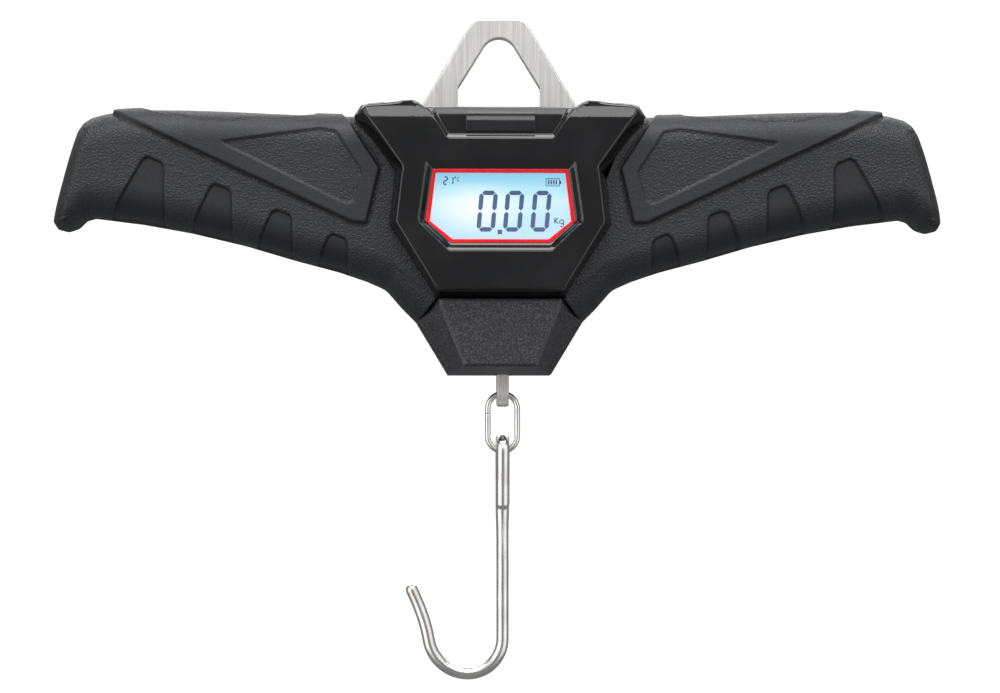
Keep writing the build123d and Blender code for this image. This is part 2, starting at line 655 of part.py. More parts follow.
with BuildPart() as load_cell:
    cell_middle_z = CELL_TOP_Z - CELL_SIZE[2] / 2
    cell_bottom_z = CELL_TOP_Z - CELL_SIZE[2]
    with Locations((0, 0, cell_middle_z)):
        Box(*CELL_SIZE)
    fillet(load_cell.edges().filter_by(Axis.Y), 2.0)
    with BuildSketch(front_plane(FAR)):
        for side in (-1, 1):
            slit_z = cell_middle_z + side * (CELL_SIZE[2] / 2 - CELL_ARM - 2 * KERF)
            with Locations((side * (CELL_SIZE[0] - KERF_REACH), slit_z)):
                Rectangle(CELL_SIZE[0], KERF)
            with Locations((side * GAUGE_HOLE_R, cell_middle_z)):
                Circle(GAUGE_HOLE_R)
        with Locations((0, cell_middle_z)):
            Rectangle(2 * GAUGE_HOLE_R, GAUGE_HOLE_R)
    extrude(amount=2 * FAR, mode=Mode.SUBTRACT)
    tongue_depth = CELL_TOP_Z - HANGER_OUTLINE[-1][1] + 0.3
    with Locations((0, 0, CELL_TOP_Z - tongue_depth / 2 + 1)):
        Box(2 * HANGER_OUTLINE[-1][0] + 0.2, HANGER_T + 0.1, tongue_depth + 2, mode=Mode.SUBTRACT)
    with Locations((TRAIN_X, 0, (TAB_TOP_Z + cell_bottom_z) / 2)):
        Box(TAB_T + 0.1, 20, TAB_TOP_Z - cell_bottom_z + 0.6, mode=Mode.SUBTRACT)
    for side in (-1, 1):
        x = side * HANGER_BOLTS_X
        add(post(x, HANGER_BOLT_Z, -FAR, FAR, BOLT_R + FIT), mode=Mode.SUBTRACT)
        head_rear_y = BOLT_HEAD_T + 0.1 - CELL_SIZE[1] / 2
        add(post(x, HANGER_BOLT_Z, -FAR, head_rear_y, BOLT_HEAD_R + FIT), mode=Mode.SUBTRACT)
    with Locations(Plane.YZ.offset(-FAR)):
        with Locations((0, TAB_PIN_Z)):
            Cylinder(TAB_PIN_R + FIT, 2 * FAR, align=(Align.CENTER, Align.CENTER, Align.MIN), mode=Mode.SUBTRACT)
load_cell.part.label = "load_cell"

with BuildPart() as strain_gauges:
    for side in (-1, 1):
        with Locations((side * (CELL_SIZE[0] + GAUGE_SIZE[0]) / 2, 0, cell_middle_z)):
            Box(*GAUGE_SIZE)
strain_gauges.part.label = "strain_gauges"

with BuildPart() as hanger_bolts:
    for side in (-1, 1):
        x = side * HANGER_BOLTS_X
        head_front_y = 0.05 - CELL_SIZE[1] / 2
        add(post(x, HANGER_BOLT_Z, head_front_y, head_front_y + BOLT_HEAD_T, BOLT_HEAD_R))
        add(post(x, HANGER_BOLT_Z, head_front_y + BOLT_HEAD_T, CELL_SIZE[1] / 2, BOLT_R))
        with BuildSketch(front_plane(head_front_y + 1.2)):
            with Locations((x, HANGER_BOLT_Z)):
                RegularPolygon(2.0, 6)
        extrude(amount=5, mode=Mode.SUBTRACT)
hanger_bolts.part.label = "hanger_bolts"

with BuildPart() as tab_pin:
    with Locations(Plane.YZ.offset(-CELL_SIZE[0] / 2 + 0.2)):
        with Locations((0, TAB_PIN_Z)):
            Cylinder(TAB_PIN_R, CELL_SIZE[0] - 0.4, align=(Align.CENTER, Align.CENTER, Align.MIN))
tab_pin.part.label = "tab_pin"

with BuildPart() as load_tab:
    with BuildSketch(Plane.YZ.offset(TRAIN_X - TAB_T / 2)):
        with Locations((0, (TAB_TOP_Z + TAB_END_Z) / 2)):
            Rectangle(2 * TAB_HALF_Y, TAB_TOP_Z - TAB_END_Z)
        fillet(vertices().group_by(Axis.Y)[0], TAB_HALF_Y - 0.3)
        with Locations((0, TAB_EYE_Z)):
            Circle(TAB_EYE_R, mode=Mode.SUBTRACT)
        with Locations((0, TAB_PIN_Z)):
            Circle(TAB_PIN_R + FIT, mode=Mode.SUBTRACT)
    extrude(amount=TAB_T)
    rim = [e for e in load_tab.edges() if e.center().Z < TAB_END_Z + 4 and e.geom_type == GeomType.CIRCLE]
    chamfer([e for e in rim if e.radius > TAB_EYE_R + 1], 0.4)
load_tab.part.label = "load_tab"

with BuildPart() as link_ring:
    with BuildLine() as ring_line:
        top_z, low_z = RING_TOP_Z - RING_HALF_X, RING_LOW_Z + RING_HALF_X
        right_x, left_x = TRAIN_X + RING_HALF_X, TRAIN_X - RING_HALF_X
        Line((left_x, 0, RING_JOINT_Z + RING_JOINT_GAP / 2), (left_x, 0, top_z))
        ThreePointArc((left_x, 0, top_z), (TRAIN_X, 0, RING_TOP_Z), (right_x, 0, top_z))
        Line((right_x, 0, top_z), (right_x, 0, low_z))
        ThreePointArc((right_x, 0, low_z), (TRAIN_X, 0, RING_LOW_Z), (left_x, 0, low_z))
        Line((left_x, 0, low_z), (left_x, 0, RING_JOINT_Z - RING_JOINT_GAP / 2))
    with BuildSketch(Plane.XY.offset(RING_JOINT_Z + RING_JOINT_GAP / 2)):
        with Locations((left_x, 0)):
            Circle(RING_WIRE_R)
    sweep(path=ring_line.wires()[0])
link_ring.part.label = "link_ring"

with BuildPart() as hook:
    with BuildLine() as eye_line:
        leg_top = (TRAIN_X, -HOOK_LEG_Y, HOOK_LEG_TOP_Z)
        shank_top = (TRAIN_X, HOOK_LEG_Y, HOOK_LEG_TOP_Z)
        front_turn = (TRAIN_X, -HOOK_EYE_R, RING_LOW_Z)
        rear_turn = (TRAIN_X, HOOK_EYE_R, RING_LOW_Z)
        Line((TRAIN_X, -HOOK_LEG_Y, HOOK_LEG_END_Z), leg_top)
        Spline(leg_top, front_turn, tangents=((0, 0, 1), (0, 0, 1)))
        ThreePointArc(front_turn, (TRAIN_X, 0, RING_LOW_Z + HOOK_EYE_R), rear_turn)
        Spline(rear_turn, shank_top, tangents=((0, 0, -1), (0, 0, -1)))
        Line(shank_top, (TRAIN_X, HOOK_LEG_Y, HOOK_LEG_END_Z - 1))
    with BuildSketch(Plane.XY.offset(HOOK_LEG_END_Z)):
        with Locations((TRAIN_X, -HOOK_LEG_Y)):
            Circle(HOOK_EYE_WIRE_R)
    sweep(path=eye_line.wires()[0])
    with Locations((TRAIN_X, -HOOK_LEG_Y, HOOK_LEG_END_Z)):
        Sphere(HOOK_EYE_WIRE_R)
    with BuildLine() as bend_line:
        bend_x = TRAIN_X - HOOK_BEND_R
        bend_low_z = HOOK_BEND_Z - HOOK_BEND_R
        left_z = bend_low_z + HOOK_BEND_LEFT_R
        slope = math.radians(HOOK_BEND_LEFT_SWEEP)
        shank_foot = (TRAIN_X, 0, HOOK_CENTRE_Z)
        bend_end = (bend_x - HOOK_BEND_LEFT_R * math.sin(slope), 0, left_z - HOOK_BEND_LEFT_R * math.cos(slope))
        middle = (bend_x - HOOK_BEND_LEFT_R * math.sin(slope / 2), 0, left_z - HOOK_BEND_LEFT_R * math.cos(slope / 2))
        quarter = HOOK_BEND_R * math.sqrt(0.5)
        Line((TRAIN_X, HOOK_LEG_Y, HOOK_LEG_END_Z), (TRAIN_X, HOOK_LEG_Y, HOOK_LEG_END_Z - 4))
        Spline(
            (TRAIN_X, HOOK_LEG_Y, HOOK_LEG_END_Z - 4),
            shank_foot,
            tangents=((0, 0, -1), (0, 0, -1)),
        )
        Line(shank_foot, (TRAIN_X, 0, HOOK_BEND_Z))
        ThreePointArc((TRAIN_X, 0, HOOK_BEND_Z), (bend_x + quarter, 0, HOOK_BEND_Z - quarter), (bend_x, 0, bend_low_z))
        ThreePointArc((bend_x, 0, bend_low_z), middle, bend_end)
        Spline(
            bend_end,
            (HOOK_TIP[0], 0, HOOK_TIP[1]),
            tangents=((-math.cos(slope), 0, math.sin(slope)), (-0.42, 0, 0.9)),
        )
    with BuildSketch(Plane.XY.offset(HOOK_LEG_END_Z)):
        with Locations((TRAIN_X, HOOK_LEG_Y)):
            Circle(HOOK_WIRE_R)
    sweep(path=bend_line.wires()[0])
    with Locations((HOOK_TIP[0], 0, HOOK_TIP[1])):
        Sphere(HOOK_WIRE_R)
hook.part.label = "hook"

# ---------------------------------------------------------------- seals

with BuildPart() as hanger_seal:
    for side in (-1, 1):
        with Locations((side * leg_middle_x, 0, FASCIA_HALF[0][1] - WALL - 1.0)):
            Box(leg_width + 4, 2 * HANGER_T, 1.6)
            Box(leg_width + 0.04, HANGER_T + 0.04, 4, mode=Mode.SUBTRACT)
hanger_seal.part.label = "hanger_seal"

with BuildPart() as tab_gland:
    with Locations((TRAIN_X, 0, CHIN_HALF[1][1] + CHIN_WALL / 2)):
        Box(TAB_T + 3.0, 2 * TAB_HALF_Y + 0.7, CHIN_WALL)
        Box(TAB_T + 0.04, 2 * TAB_HALF_Y + 0.04, 8, mode=Mode.SUBTRACT)
tab_gland.part.label = "tab_gland"

# ---------------------------------------------------------------- battery bay

bay_x = 2 * BAY_HALF_X
pocket_x = bay_x - 2 * BAY_WALL
pocket_z = bay_height - 2 * BAY_WALL

with BuildPart() as battery_box:
    add(block(bay_x, bay_height, BAY_FRONT_Y, BAY_REAR_Y, z=bay_z))
    add(block(pocket_x, pocket_z, BAY_FRONT_Y + BAY_WALL, FAR, z=bay_z), mode=Mode.SUBTRACT)
battery_box.part.label = "battery_box"

with BuildPart() as batteries:
    for i in (-1, 0, 1):
        up = 1 if i else -1
        bottom = bay_z - up * (AAA_LENGTH + AAA_NUB[1]) / 2
        plane = Plane(origin=(i * AAA_PITCH, AAA_Y, bottom), z_dir=(0, 0, up))
        with Locations(plane):
            Cylinder(AAA_R, AAA_LENGTH, align=(Align.CENTER, Align.CENTER, Align.MIN))
            Cylinder(AAA_NUB[0], AAA_LENGTH + AAA_NUB[1], align=(Align.CENTER, Align.CENTER, Align.MIN))
batteries.part.label = "batteries"

with BuildPart() as battery_contacts:
    for end in (-1, 1):
        plate_z = bay_z + end * (pocket_z - CONTACT_T) / 2
        for i in (-1, 0, 1):
            with Locations((i * AAA_PITCH, AAA_Y, plate_z)):
                Box(8.0, 9.0, CONTACT_T)
battery_contacts.part.label = "battery_contacts"

with BuildPart() as battery_door:
    door_outline = both_sides(DOOR_HALF)
    add(prism(door_outline, SHELL_REAR_Y, DOOR_REAR_Y))
    chamfer(battery_door.faces().sort_by(Axis.Y)[-1].edges(), 0.8)
    groove = prism(door_outline, -FAR, SHELL_REAR_Y + GASKET_T, grow=-0.8)
    add(groove - prism(door_outline, -FAR, FAR, grow=-0.8 - GASKET_W), mode=Mode.SUBTRACT)
    add(post(0, DOOR_SCREW_Z, -FAR, FAR, DOOR_SCREW_R + FIT), mode=Mode.SUBTRACT)
    sunk = DOOR_REAR_Y - DOOR_SCREW_HEAD[1]
    add(post(0, DOOR_SCREW_Z, sunk, FAR, DOOR_SCREW_HEAD[0] + FIT), mode=Mode.SUBTRACT)
battery_door.part.label = "battery_door"

with BuildPart() as door_gasket:
    add(prism(door_outline, SHELL_REAR_Y, SHELL_REAR_Y + GASKET_T, grow=-0.8))
    add(prism(door_outline, -FAR, FAR, grow=-0.8 - GASKET_W), mode=Mode.SUBTRACT)
door_gasket.part.label = "door_gasket"

with BuildPart() as door_screw:
    add(post(0, DOOR_SCREW_Z, 12.0, sunk + 0.1, DOOR_SCREW_R))
    add(post(0, DOOR_SCREW_Z, sunk, DOOR_REAR_Y, DOOR_SCREW_HEAD[0]))
    add(block(3.0, 0.7, DOOR_REAR_Y - 0.7, FAR, z=DOOR_SCREW_Z), mode=Mode.SUBTRACT)
    add(block(0.7, 3.0, DOOR_REAR_Y - 0.7, FAR, z=DOOR_SCREW_Z), mode=Mode.SUBTRACT)
door_screw.part.label = "door_screw"

# ---------------------------------------------------------------- screws and leads

with BuildPart() as shell_screws:
    for side in (-1, 1):
        for x, z in SHELL_SCREWS:
            head_y = SHELL_REAR_Y - SHELL_SCREW_HEAD[1]
            add(post(side * x, z, SHELL_SCREW_END_Y, head_y, SHELL_SCREW_R))
            add(post(side * x, z, head_y, SHELL_REAR_Y, SHELL_SCREW_HEAD[0]))
            add(block(3.0, 0.7, SHELL_REAR_Y - 0.8, FAR, side * x, z), mode=Mode.SUBTRACT)
            add(block(0.7, 3.0, SHELL_REAR_Y - 0.8, FAR, side * x, z), mode=Mode.SUBTRACT)
shell_screws.part.label = "shell_screws"

with BuildPart() as board_screws:
    for side in (-1, 1):
        x = side * BOARD_POST_X
        for z in BOARD_POST_ZS:
            add(post(x, z, BOARD_FRONT_Y - 4, board_rear_y, BOARD_SCREW_R))
            add(post(x, z, board_rear_y, board_rear_y + 1.0, 1.4))
        x = side * BUTTON_POST_X
        add(post(x, BUTTON_Z, button_board_front_y, switch_base_y + 3.5, BOARD_SCREW_R))
        add(post(x, BUTTON_Z, button_board_front_y - 1.0, button_board_front_y, 1.4))
board_screws.part.label = "board_screws"

with BuildPart() as cell_cable:
    start = (-CELL_SIZE[0] / 2 - GAUGE_SIZE[0], 0, cell_middle_z - 2)
    add(lead([start, (-22.5, 0, start[2]), (-22.5, board_rear_y, start[2])], 0.9))
cell_cable.part.label = "cell_cable"

with BuildPart() as battery_leads:
    for drop in (0, 2.4):
        start = (-BAY_HALF_X, 10.0, -44.0 - drop)
        elbow = -24.0 - drop
        route = [start, (elbow, 10.0, start[2]), (elbow, 10.0, -50.5), (elbow, board_rear_y, -50.5)]
        add(lead(route, 0.6))
battery_leads.part.label = "battery_leads"

with BuildPart() as button_cable:
    socket_z = BUTTON_Z - BUTTON_BOARD_SIZE[1] / 2 + 1.2
    over_plate_y = button_board_front_y - 4.6
    start = (20.5, button_board_front_y, socket_z)
    over = [(20.5, over_plate_y, socket_z), (29.6, over_plate_y, -45.5), (27.6, -2.0, -56.0)]
    add(lead([start, *over, (27.6, board_rear_y, -56.0)], 0.8))
button_cable.part.label = "button_cable"

# ---------------------------------------------------------------- export

os.makedirs("parts", exist_ok=True)
export_step(front_shell.part, "parts/front_shell.step")
export_step(rear_shell.part, "parts/rear_shell.step")
export_step(nose_cover.part, "parts/nose_cover.step")
export_step(right_grip_front.part, "parts/right_grip_front.step")
export_step(right_grip_rear.part, "parts/right_grip_rear.step")
export_step(left_grip_front.part, "parts/left_grip_front.step")
export_step(left_grip_rear.part, "parts/left_grip_rear.step")
export_step(display_bezel.part, "parts/display_bezel.step")
export_step(name_plate.part, "parts/name_plate.step")
export_step(window_trim.part, "parts/window_trim.step")
export_step(display_window.part, "parts/display_window.step")
export_step(lcd_glass.part, "parts/lcd_glass.step")
export_step(lcd_backlight.part, "parts/lcd_backlight.step")
export_step(lcd_holder.part, "parts/lcd_holder.step")
export_step(zebra_connectors.part, "parts/zebra_connectors.step")
export_step(main_board.part, "parts/main_board.step")
export_step(board_chips.part, "parts/board_chips.step")
export_step(button_board.part, "parts/button_board.step")
export_step(tact_switches.part, "parts/tact_switches.step")
export_step(power_button.part, "parts/power_button.step")
export_step(unit_button.part, "parts/unit_button.step")
export_step(tare_button.part, "parts/tare_button.step")
export_step(hanger_plate.part, "parts/hanger_plate.step")
export_step(load_cell.part, "parts/load_cell.step")
export_step(strain_gauges.part, "parts/strain_gauges.step")
export_step(hanger_bolts.part, "parts/hanger_bolts.step")
export_step(tab_pin.part, "parts/tab_pin.step")
export_step(load_tab.part, "parts/load_tab.step")
export_step(link_ring.part, "parts/link_ring.step")
export_step(hook.part, "parts/hook.step")
export_step(hanger_seal.part, "parts/hanger_seal.step")
export_step(tab_gland.part, "parts/tab_gland.step")
export_step(battery_box.part, "parts/battery_box.step")
export_step(batteries.part, "parts/batteries.step")
export_step(battery_contacts.part, "parts/battery_contacts.step")
export_step(battery_door.part, "parts/battery_door.step")
export_step(door_gasket.part, "parts/door_gasket.step")
export_step(door_screw.part, "parts/door_screw.step")
export_step(shell_screws.part, "parts/shell_screws.step")
export_step(board_screws.part, "parts/board_screws.step")
export_step(cell_cable.part, "parts/cell_cable.step")
export_step(battery_leads.part, "parts/battery_leads.step")
export_step(button_cable.part, "parts/button_cable.step")
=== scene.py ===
"""Looks of a two-handed digital fish scale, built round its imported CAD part.

Every piece is in metres in the part's own frame: +Z up, +X to the reader's right, the display facing -Y, and
the origin at the top of the hanger plate's opening. Sizes below are in millimetres unless they say otherwise.
"""

import logging
import math
from dataclasses import dataclass, field
from enum import Enum
from typing import Any, Sequence

import bpy
import numpy as np
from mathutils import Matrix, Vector


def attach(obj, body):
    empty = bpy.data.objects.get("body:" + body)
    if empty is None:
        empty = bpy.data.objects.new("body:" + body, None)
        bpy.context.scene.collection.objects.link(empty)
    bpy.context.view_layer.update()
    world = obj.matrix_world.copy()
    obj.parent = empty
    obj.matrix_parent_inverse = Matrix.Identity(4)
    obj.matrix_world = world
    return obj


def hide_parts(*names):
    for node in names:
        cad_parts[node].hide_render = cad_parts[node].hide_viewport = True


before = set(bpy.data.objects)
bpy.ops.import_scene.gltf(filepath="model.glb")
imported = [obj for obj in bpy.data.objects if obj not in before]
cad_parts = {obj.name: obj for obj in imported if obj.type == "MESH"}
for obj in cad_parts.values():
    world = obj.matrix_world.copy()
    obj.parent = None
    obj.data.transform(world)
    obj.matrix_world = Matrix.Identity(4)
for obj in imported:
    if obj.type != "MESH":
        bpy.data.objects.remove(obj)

LOG = logging.getLogger("fish_scale")
MM = 0.001
DOME_RINGS = 7
Point = tuple[float, float]
Colour = tuple[float, float, float]


class Side(Enum):
    """Which of the two grips, as the sign of its X."""

    LEFT = -1
    RIGHT = 1


class Face(Enum):
    """Which half of a grip, as the sign of its Y."""

    FRONT = -1
    REAR = 1


# ---------------------------------------------------------------- shader maths


class Wire:
    """An output socket with the arithmetic that shader expressions use."""

    def __init__(self, shader: "Shader", socket: bpy.types.NodeSocket) -> None:
        """Keeps the socket and the node tree it belongs to."""
        self.shader = shader
        self.socket = socket

    def _math(self, operation: str, *values: Any) -> "Wire":
        """One Math node on the values."""
        return self.shader.node("ShaderNodeMath", {"operation": operation}, dict(enumerate(values)))

    def __add__(self, other: Any) -> "Wire":
        """self + other."""
        return self._math("ADD", self, other)

    def __radd__(self, other: Any) -> "Wire":
        """other + self."""
        return self._math("ADD", other, self)

    def __sub__(self, other: Any) -> "Wire":
        """self - other."""
        return self._math("SUBTRACT", self, other)

    def __rsub__(self, other: Any) -> "Wire":
        """other - self."""
        return self._math("SUBTRACT", other, self)

    def __mul__(self, other: Any) -> "Wire":
        """self * other."""
        return self._math("MULTIPLY", self, other)

    def __rmul__(self, other: Any) -> "Wire":
        """other * self."""
        return self._math("MULTIPLY", other, self)

    def clamped(self) -> "Wire":
        """The value held between 0 and 1."""
        return self.shader.node("ShaderNodeClamp", {}, {"Value": self})

    def step(self, low: float, high: float) -> "Wire":
        """0 below low, 1 above high, and a smooth S between them."""
        settings = {"interpolation_type": "SMOOTHSTEP"}
        values = {"Value": self, "From Min": low, "From Max": high}
        return self.shader.node("ShaderNodeMapRange", settings, values)


class Shader:
    """A material's node tree with a Principled shader on its output."""

    def __init__(self, name: str) -> None:
        """Makes an empty node material called name."""
        self.material = bpy.data.materials.new(name)
        self.material.use_nodes = True
        self.tree = self.material.node_tree
        self.tree.nodes.clear()
        self.out = self.tree.nodes.new("ShaderNodeOutputMaterial")
        self.principled = self.tree.nodes.new("ShaderNodeBsdfPrincipled")
        self.tree.links.new(self.principled.outputs[0], self.out.inputs["Surface"])

    def node(self, kind: str, settings: dict[str, Any], values: dict[Any, Any], output: Any = 0) -> Wire:
        """Adds a node.

        Args:
            kind: the node's Blender type.
            settings: attributes set first; "stops" fills a colour ramp.
            values: socket name or index to a number, vector or Wire.
            output: the output socket's name or index.

        Returns:
            The chosen output.
        """
        made = self.tree.nodes.new(kind)
        for key, value in settings.items():
            if key == "stops":
                ramp = made.color_ramp
                while len(ramp.elements) < len(value):
                    ramp.elements.new(0.5)
                for element, (position, colour) in zip(ramp.elements, value):
                    element.position = position
                    element.color = (*colour, 1.0)
            else:
                setattr(made, key, value)
        for key, value in values.items():
            self._feed(made.inputs[key], value)
        return Wire(self, made.outputs[output])

    def _feed(self, socket: bpy.types.NodeSocket, value: Any) -> None:
        """Links a Wire, or sets a number or colour."""
        if isinstance(value, Wire):
            self.tree.links.new(value.socket, socket)
        elif isinstance(value, tuple) and len(value) == 3 and socket.type == "RGBA":
            socket.default_value = (*value, 1.0)
        else:
            socket.default_value = value

    def set(self, **values: Any) -> None:
        """Sets or links the Principled shader's sockets, with _ for a space in their names."""
        for key, value in values.items():
            self._feed(self.principled.inputs[key.replace("_", " ")], value)

    def place(self) -> Wire:
        """Object coordinates, in metres."""
        return self.node("ShaderNodeTexCoord", {}, {}, "Object")

    def stretched(self, x: float, y: float, z: float) -> Wire:
        """Object coordinates scaled along each axis."""
        return self.node("ShaderNodeMapping", {}, {"Vector": self.place(), "Scale": (x, y, z)})

    def axis(self, name: str) -> Wire:
        """One object coordinate, in metres."""
        return self.node("ShaderNodeSeparateXYZ", {}, {0: self.place()}, name)

    def attribute(self, name: str) -> Wire:
        """A named attribute of the mesh."""
        return self.node("ShaderNodeAttribute", {"attribute_name": name}, {}, "Fac")

    def noise(
        self, per_metre: float, detail: float = 2.0, vector: Wire | None = None, roughness: float = 0.5
    ) -> Wire:
        """Noise with so many features to the metre."""
        where = vector or self.place()
        values = {"Vector": where, "Scale": per_metre, "Detail": detail, "Roughness": roughness}
        return self.node("ShaderNodeTexNoise", {}, values)

    def cells(self, per_metre: float, feature: str = "F1", vector: Wire | None = None) -> Wire:
        """Distance in a Voronoi pattern with so many cells to the metre."""
        values = {"Vector": vector or self.place(), "Scale": per_metre}
        return self.node("ShaderNodeTexVoronoi", {"feature": feature}, values, "Distance")

    def mix(self, factor: Any, low: Any, high: Any) -> Wire:
        """Colour mix: low where factor is 0, high where it is 1."""
        made = self.tree.nodes.new("ShaderNodeMix")
        made.data_type = "RGBA"
        self._feed(made.inputs[0], factor)
        self._feed(made.inputs[6], low)
        self._feed(made.inputs[7], high)
        return Wire(self, made.outputs[2])

    def bump(self, height: Wire, strength: float, depth_mm: float) -> Wire:
        """A bumped normal of a height between 0 and 1, depth_mm deep."""
        values = {"Strength": strength, "Distance": depth_mm * MM, "Height": height}
        return self.node("ShaderNodeBump", {}, values)


# ---------------------------------------------------------------- finishes


@dataclass(frozen=True)
class Moulded:
    """Moulded plastic or rubber with a fine spark-eroded texture."""

    name: str
    colour: Colour
    roughness: float = 0.5
    grain_per_metre: float = 2600.0
    grain_depth: float = 0.05
    speckle: float = 0.25
    coat: float = 0.0

    def build(self) -> bpy.types.Material:
        """Fine noise drives a little bump, gloss and shade; larger noise adds handling marks."""
        s = Shader(self.name)
        grain = s.noise(self.grain_per_metre, 3.0)
        cloud = s.noise(38.0, 3.0)
        lighter = tuple(min(1.0, c * (1 + 3.0 * self.speckle) + 0.01 * self.speckle) for c in self.colour)
        s.set(Base_Color=s.mix(grain.step(0.45, 0.75) * 0.8, self.colour, lighter))
        s.set(Roughness=(self.roughness + 0.16 * (grain - 0.5) + 0.12 * (cloud - 0.5)).clamped())
        s.set(Coat_Weight=self.coat, Coat_Roughness=0.06)
        s.set(Normal=s.bump(grain, 0.55, self.grain_depth))
        return s.material


@dataclass(frozen=True)
class GrippyRubber:
    """Charcoal rubber: leather grain, finer on the raised panel, coarse in its inset, smooth in the notches,
    with painted shade darkening its creases and notches.
    """

    name: str
    colour: Colour

    def build(self) -> bpy.types.Material:
        """Two cell patterns of different scale are blended by the mesh's zone attributes; the crease and notch
        zones also darken the colour as painted shade.
        """
        s = Shader(self.name)
        panel, inset, notch = (s.attribute(zone) for zone in ("panel", "inset", "notch"))
        warp = s.node("ShaderNodeVectorMath", {"operation": "MULTIPLY_ADD"}, self._warp(s))
        coarse = s.cells(820.0, "DISTANCE_TO_EDGE", warp).step(0.0, 0.32)
        pebble = s.cells(1500.0, "F1", warp)
        fine = s.noise(2400.0, 3.0)
        smooth = (notch + 0.72 * panel * (1.0 - inset)).clamped()
        leather = 0.72 * coarse + 0.28 * (1.0 - pebble)
        height = leather * (1.0 - smooth) + fine * smooth * 0.30
        worn = s.noise(55.0, 4.0)
        light = tuple(c * 1.9 for c in self.colour)
        crease = s.attribute("crease")
        tone = (0.45 * coarse + 0.25 * worn + 0.3 * fine).clamped()
        skin = s.mix(tone, self.colour, light)
        # Painted shade: the colour falls nearly to black along the creases and goes darker over the notches.
        s.set(Base_Color=s.mix((0.85 * crease + 0.35 * notch).clamped(), skin, (0.002, 0.002, 0.002)))
        s.set(Roughness=(0.46 + 0.12 * (1.0 - coarse) + 0.12 * (worn - 0.5) + 0.05 * smooth).clamped())
        s.set(Normal=s.bump(height, 0.85, 0.22), Specular_IOR_Level=0.5)
        return s.material

    @staticmethod
    def _warp(s: Shader) -> dict[int, Any]:
        """Inputs that push the coordinates about by up to half a millimetre, so the cells aren't regular."""
        push = s.node("ShaderNodeTexNoise", {}, {"Vector": s.place(), "Scale": 420.0, "Detail": 1.0}, "Color")
        return {0: push, 1: (0.0011, 0.0011, 0.0011), 2: s.place()}


@dataclass(frozen=True)
class Gloss:
    """Glossy moulded plastic with faint orange peel and a few soft marks."""

    name: str
    colour: Colour
    roughness: float = 0.09
    coat: float = 0.6

    def build(self) -> bpy.types.Material:
        """Large soft noise varies the gloss, and very shallow bump bends the reflections."""
        s = Shader(self.name)
        peel = s.noise(160.0, 2.0)
        smudge = s.noise(45.0, 4.0)
        lift = tuple(c * 1.5 + 0.004 for c in self.colour)
        s.set(Base_Color=s.mix(smudge.step(0.4, 0.8), self.colour, lift))
        s.set(Roughness=(self.roughness + 0.10 * smudge.step(0.45, 0.8)).clamped())
        s.set(Coat_Weight=self.coat, Coat_Roughness=0.04, Normal=s.bump(peel, 0.12, 0.05))
        return s.material


@dataclass(frozen=True)
class Brushed:
    """Brushed stainless sheet, its lines running along Z."""

    name: str
    colour: Colour
    roughness: float = 0.34
    lines_per_metre: float = 5200.0
    metallic: float = 0.55

    def build(self) -> bpy.types.Material:
        """Noise stretched a hundredfold along Z makes the lines, in colour, gloss and bump."""
        s = Shader(self.name)
        lines = s.noise(self.lines_per_metre, 4.0, s.stretched(1.0, 1.0, 0.012), 0.65)
        wide = s.noise(900.0, 3.0, s.stretched(1.0, 1.0, 0.02))
        cloud = s.noise(60.0, 3.0)
        dark = tuple(c * 0.72 for c in self.colour)
        s.set(Base_Color=s.mix((0.55 * lines + 0.45 * wide).step(0.3, 0.68), dark, self.colour))
        s.set(Metallic=self.metallic)
        s.set(Roughness=(self.roughness + 0.28 * (lines - 0.5) + 0.14 * (cloud - 0.5)).clamped())
        s.set(Normal=s.bump(lines * 0.7 + wide * 0.3, 0.35, 0.05), Anisotropic=0.55)
        return s.material


@dataclass(frozen=True)
class Polished:
    """Polished metal with fine scratches and faint wear."""

    name: str
    colour: Colour
    roughness: float = 0.13
    grain: float = 0.1

    def build(self) -> bpy.types.Material:
        """Scratches are stretched noise; wear is soft noise on the gloss."""
        s = Shader(self.name)
        scratch = s.noise(1800.0, 3.0, s.stretched(1.0, 1.0, 0.18))
        wear = s.noise(140.0, 4.0)
        dull = tuple(c * 0.8 for c in self.colour)
        s.set(Base_Color=s.mix(wear.step(0.35, 0.75), self.colour, dull), Metallic=1.0)
        s.set(Roughness=(self.roughness + self.grain * scratch + 0.10 * wear.step(0.5, 0.8)).clamped())
        s.set(Normal=s.bump(scratch * 0.5 + wear * 0.5, 0.06, 0.02 + 0.2 * self.grain))
        return s.material


@dataclass(frozen=True)
class ClearWindow:
    """A clear acrylic window: nearly all see-through, with a faint reflection."""

    name: str

    def build(self) -> bpy.types.Material:
        """Low alpha, and smudges that show only in the gloss."""
        s = Shader(self.name)
        smudge = s.noise(70.0, 4.0)
        s.set(Base_Color=(0.30, 0.38, 0.42), Alpha=0.05)
        s.set(Roughness=(0.03 + 0.12 * smudge.step(0.5, 0.8)).clamped())
        return s.material


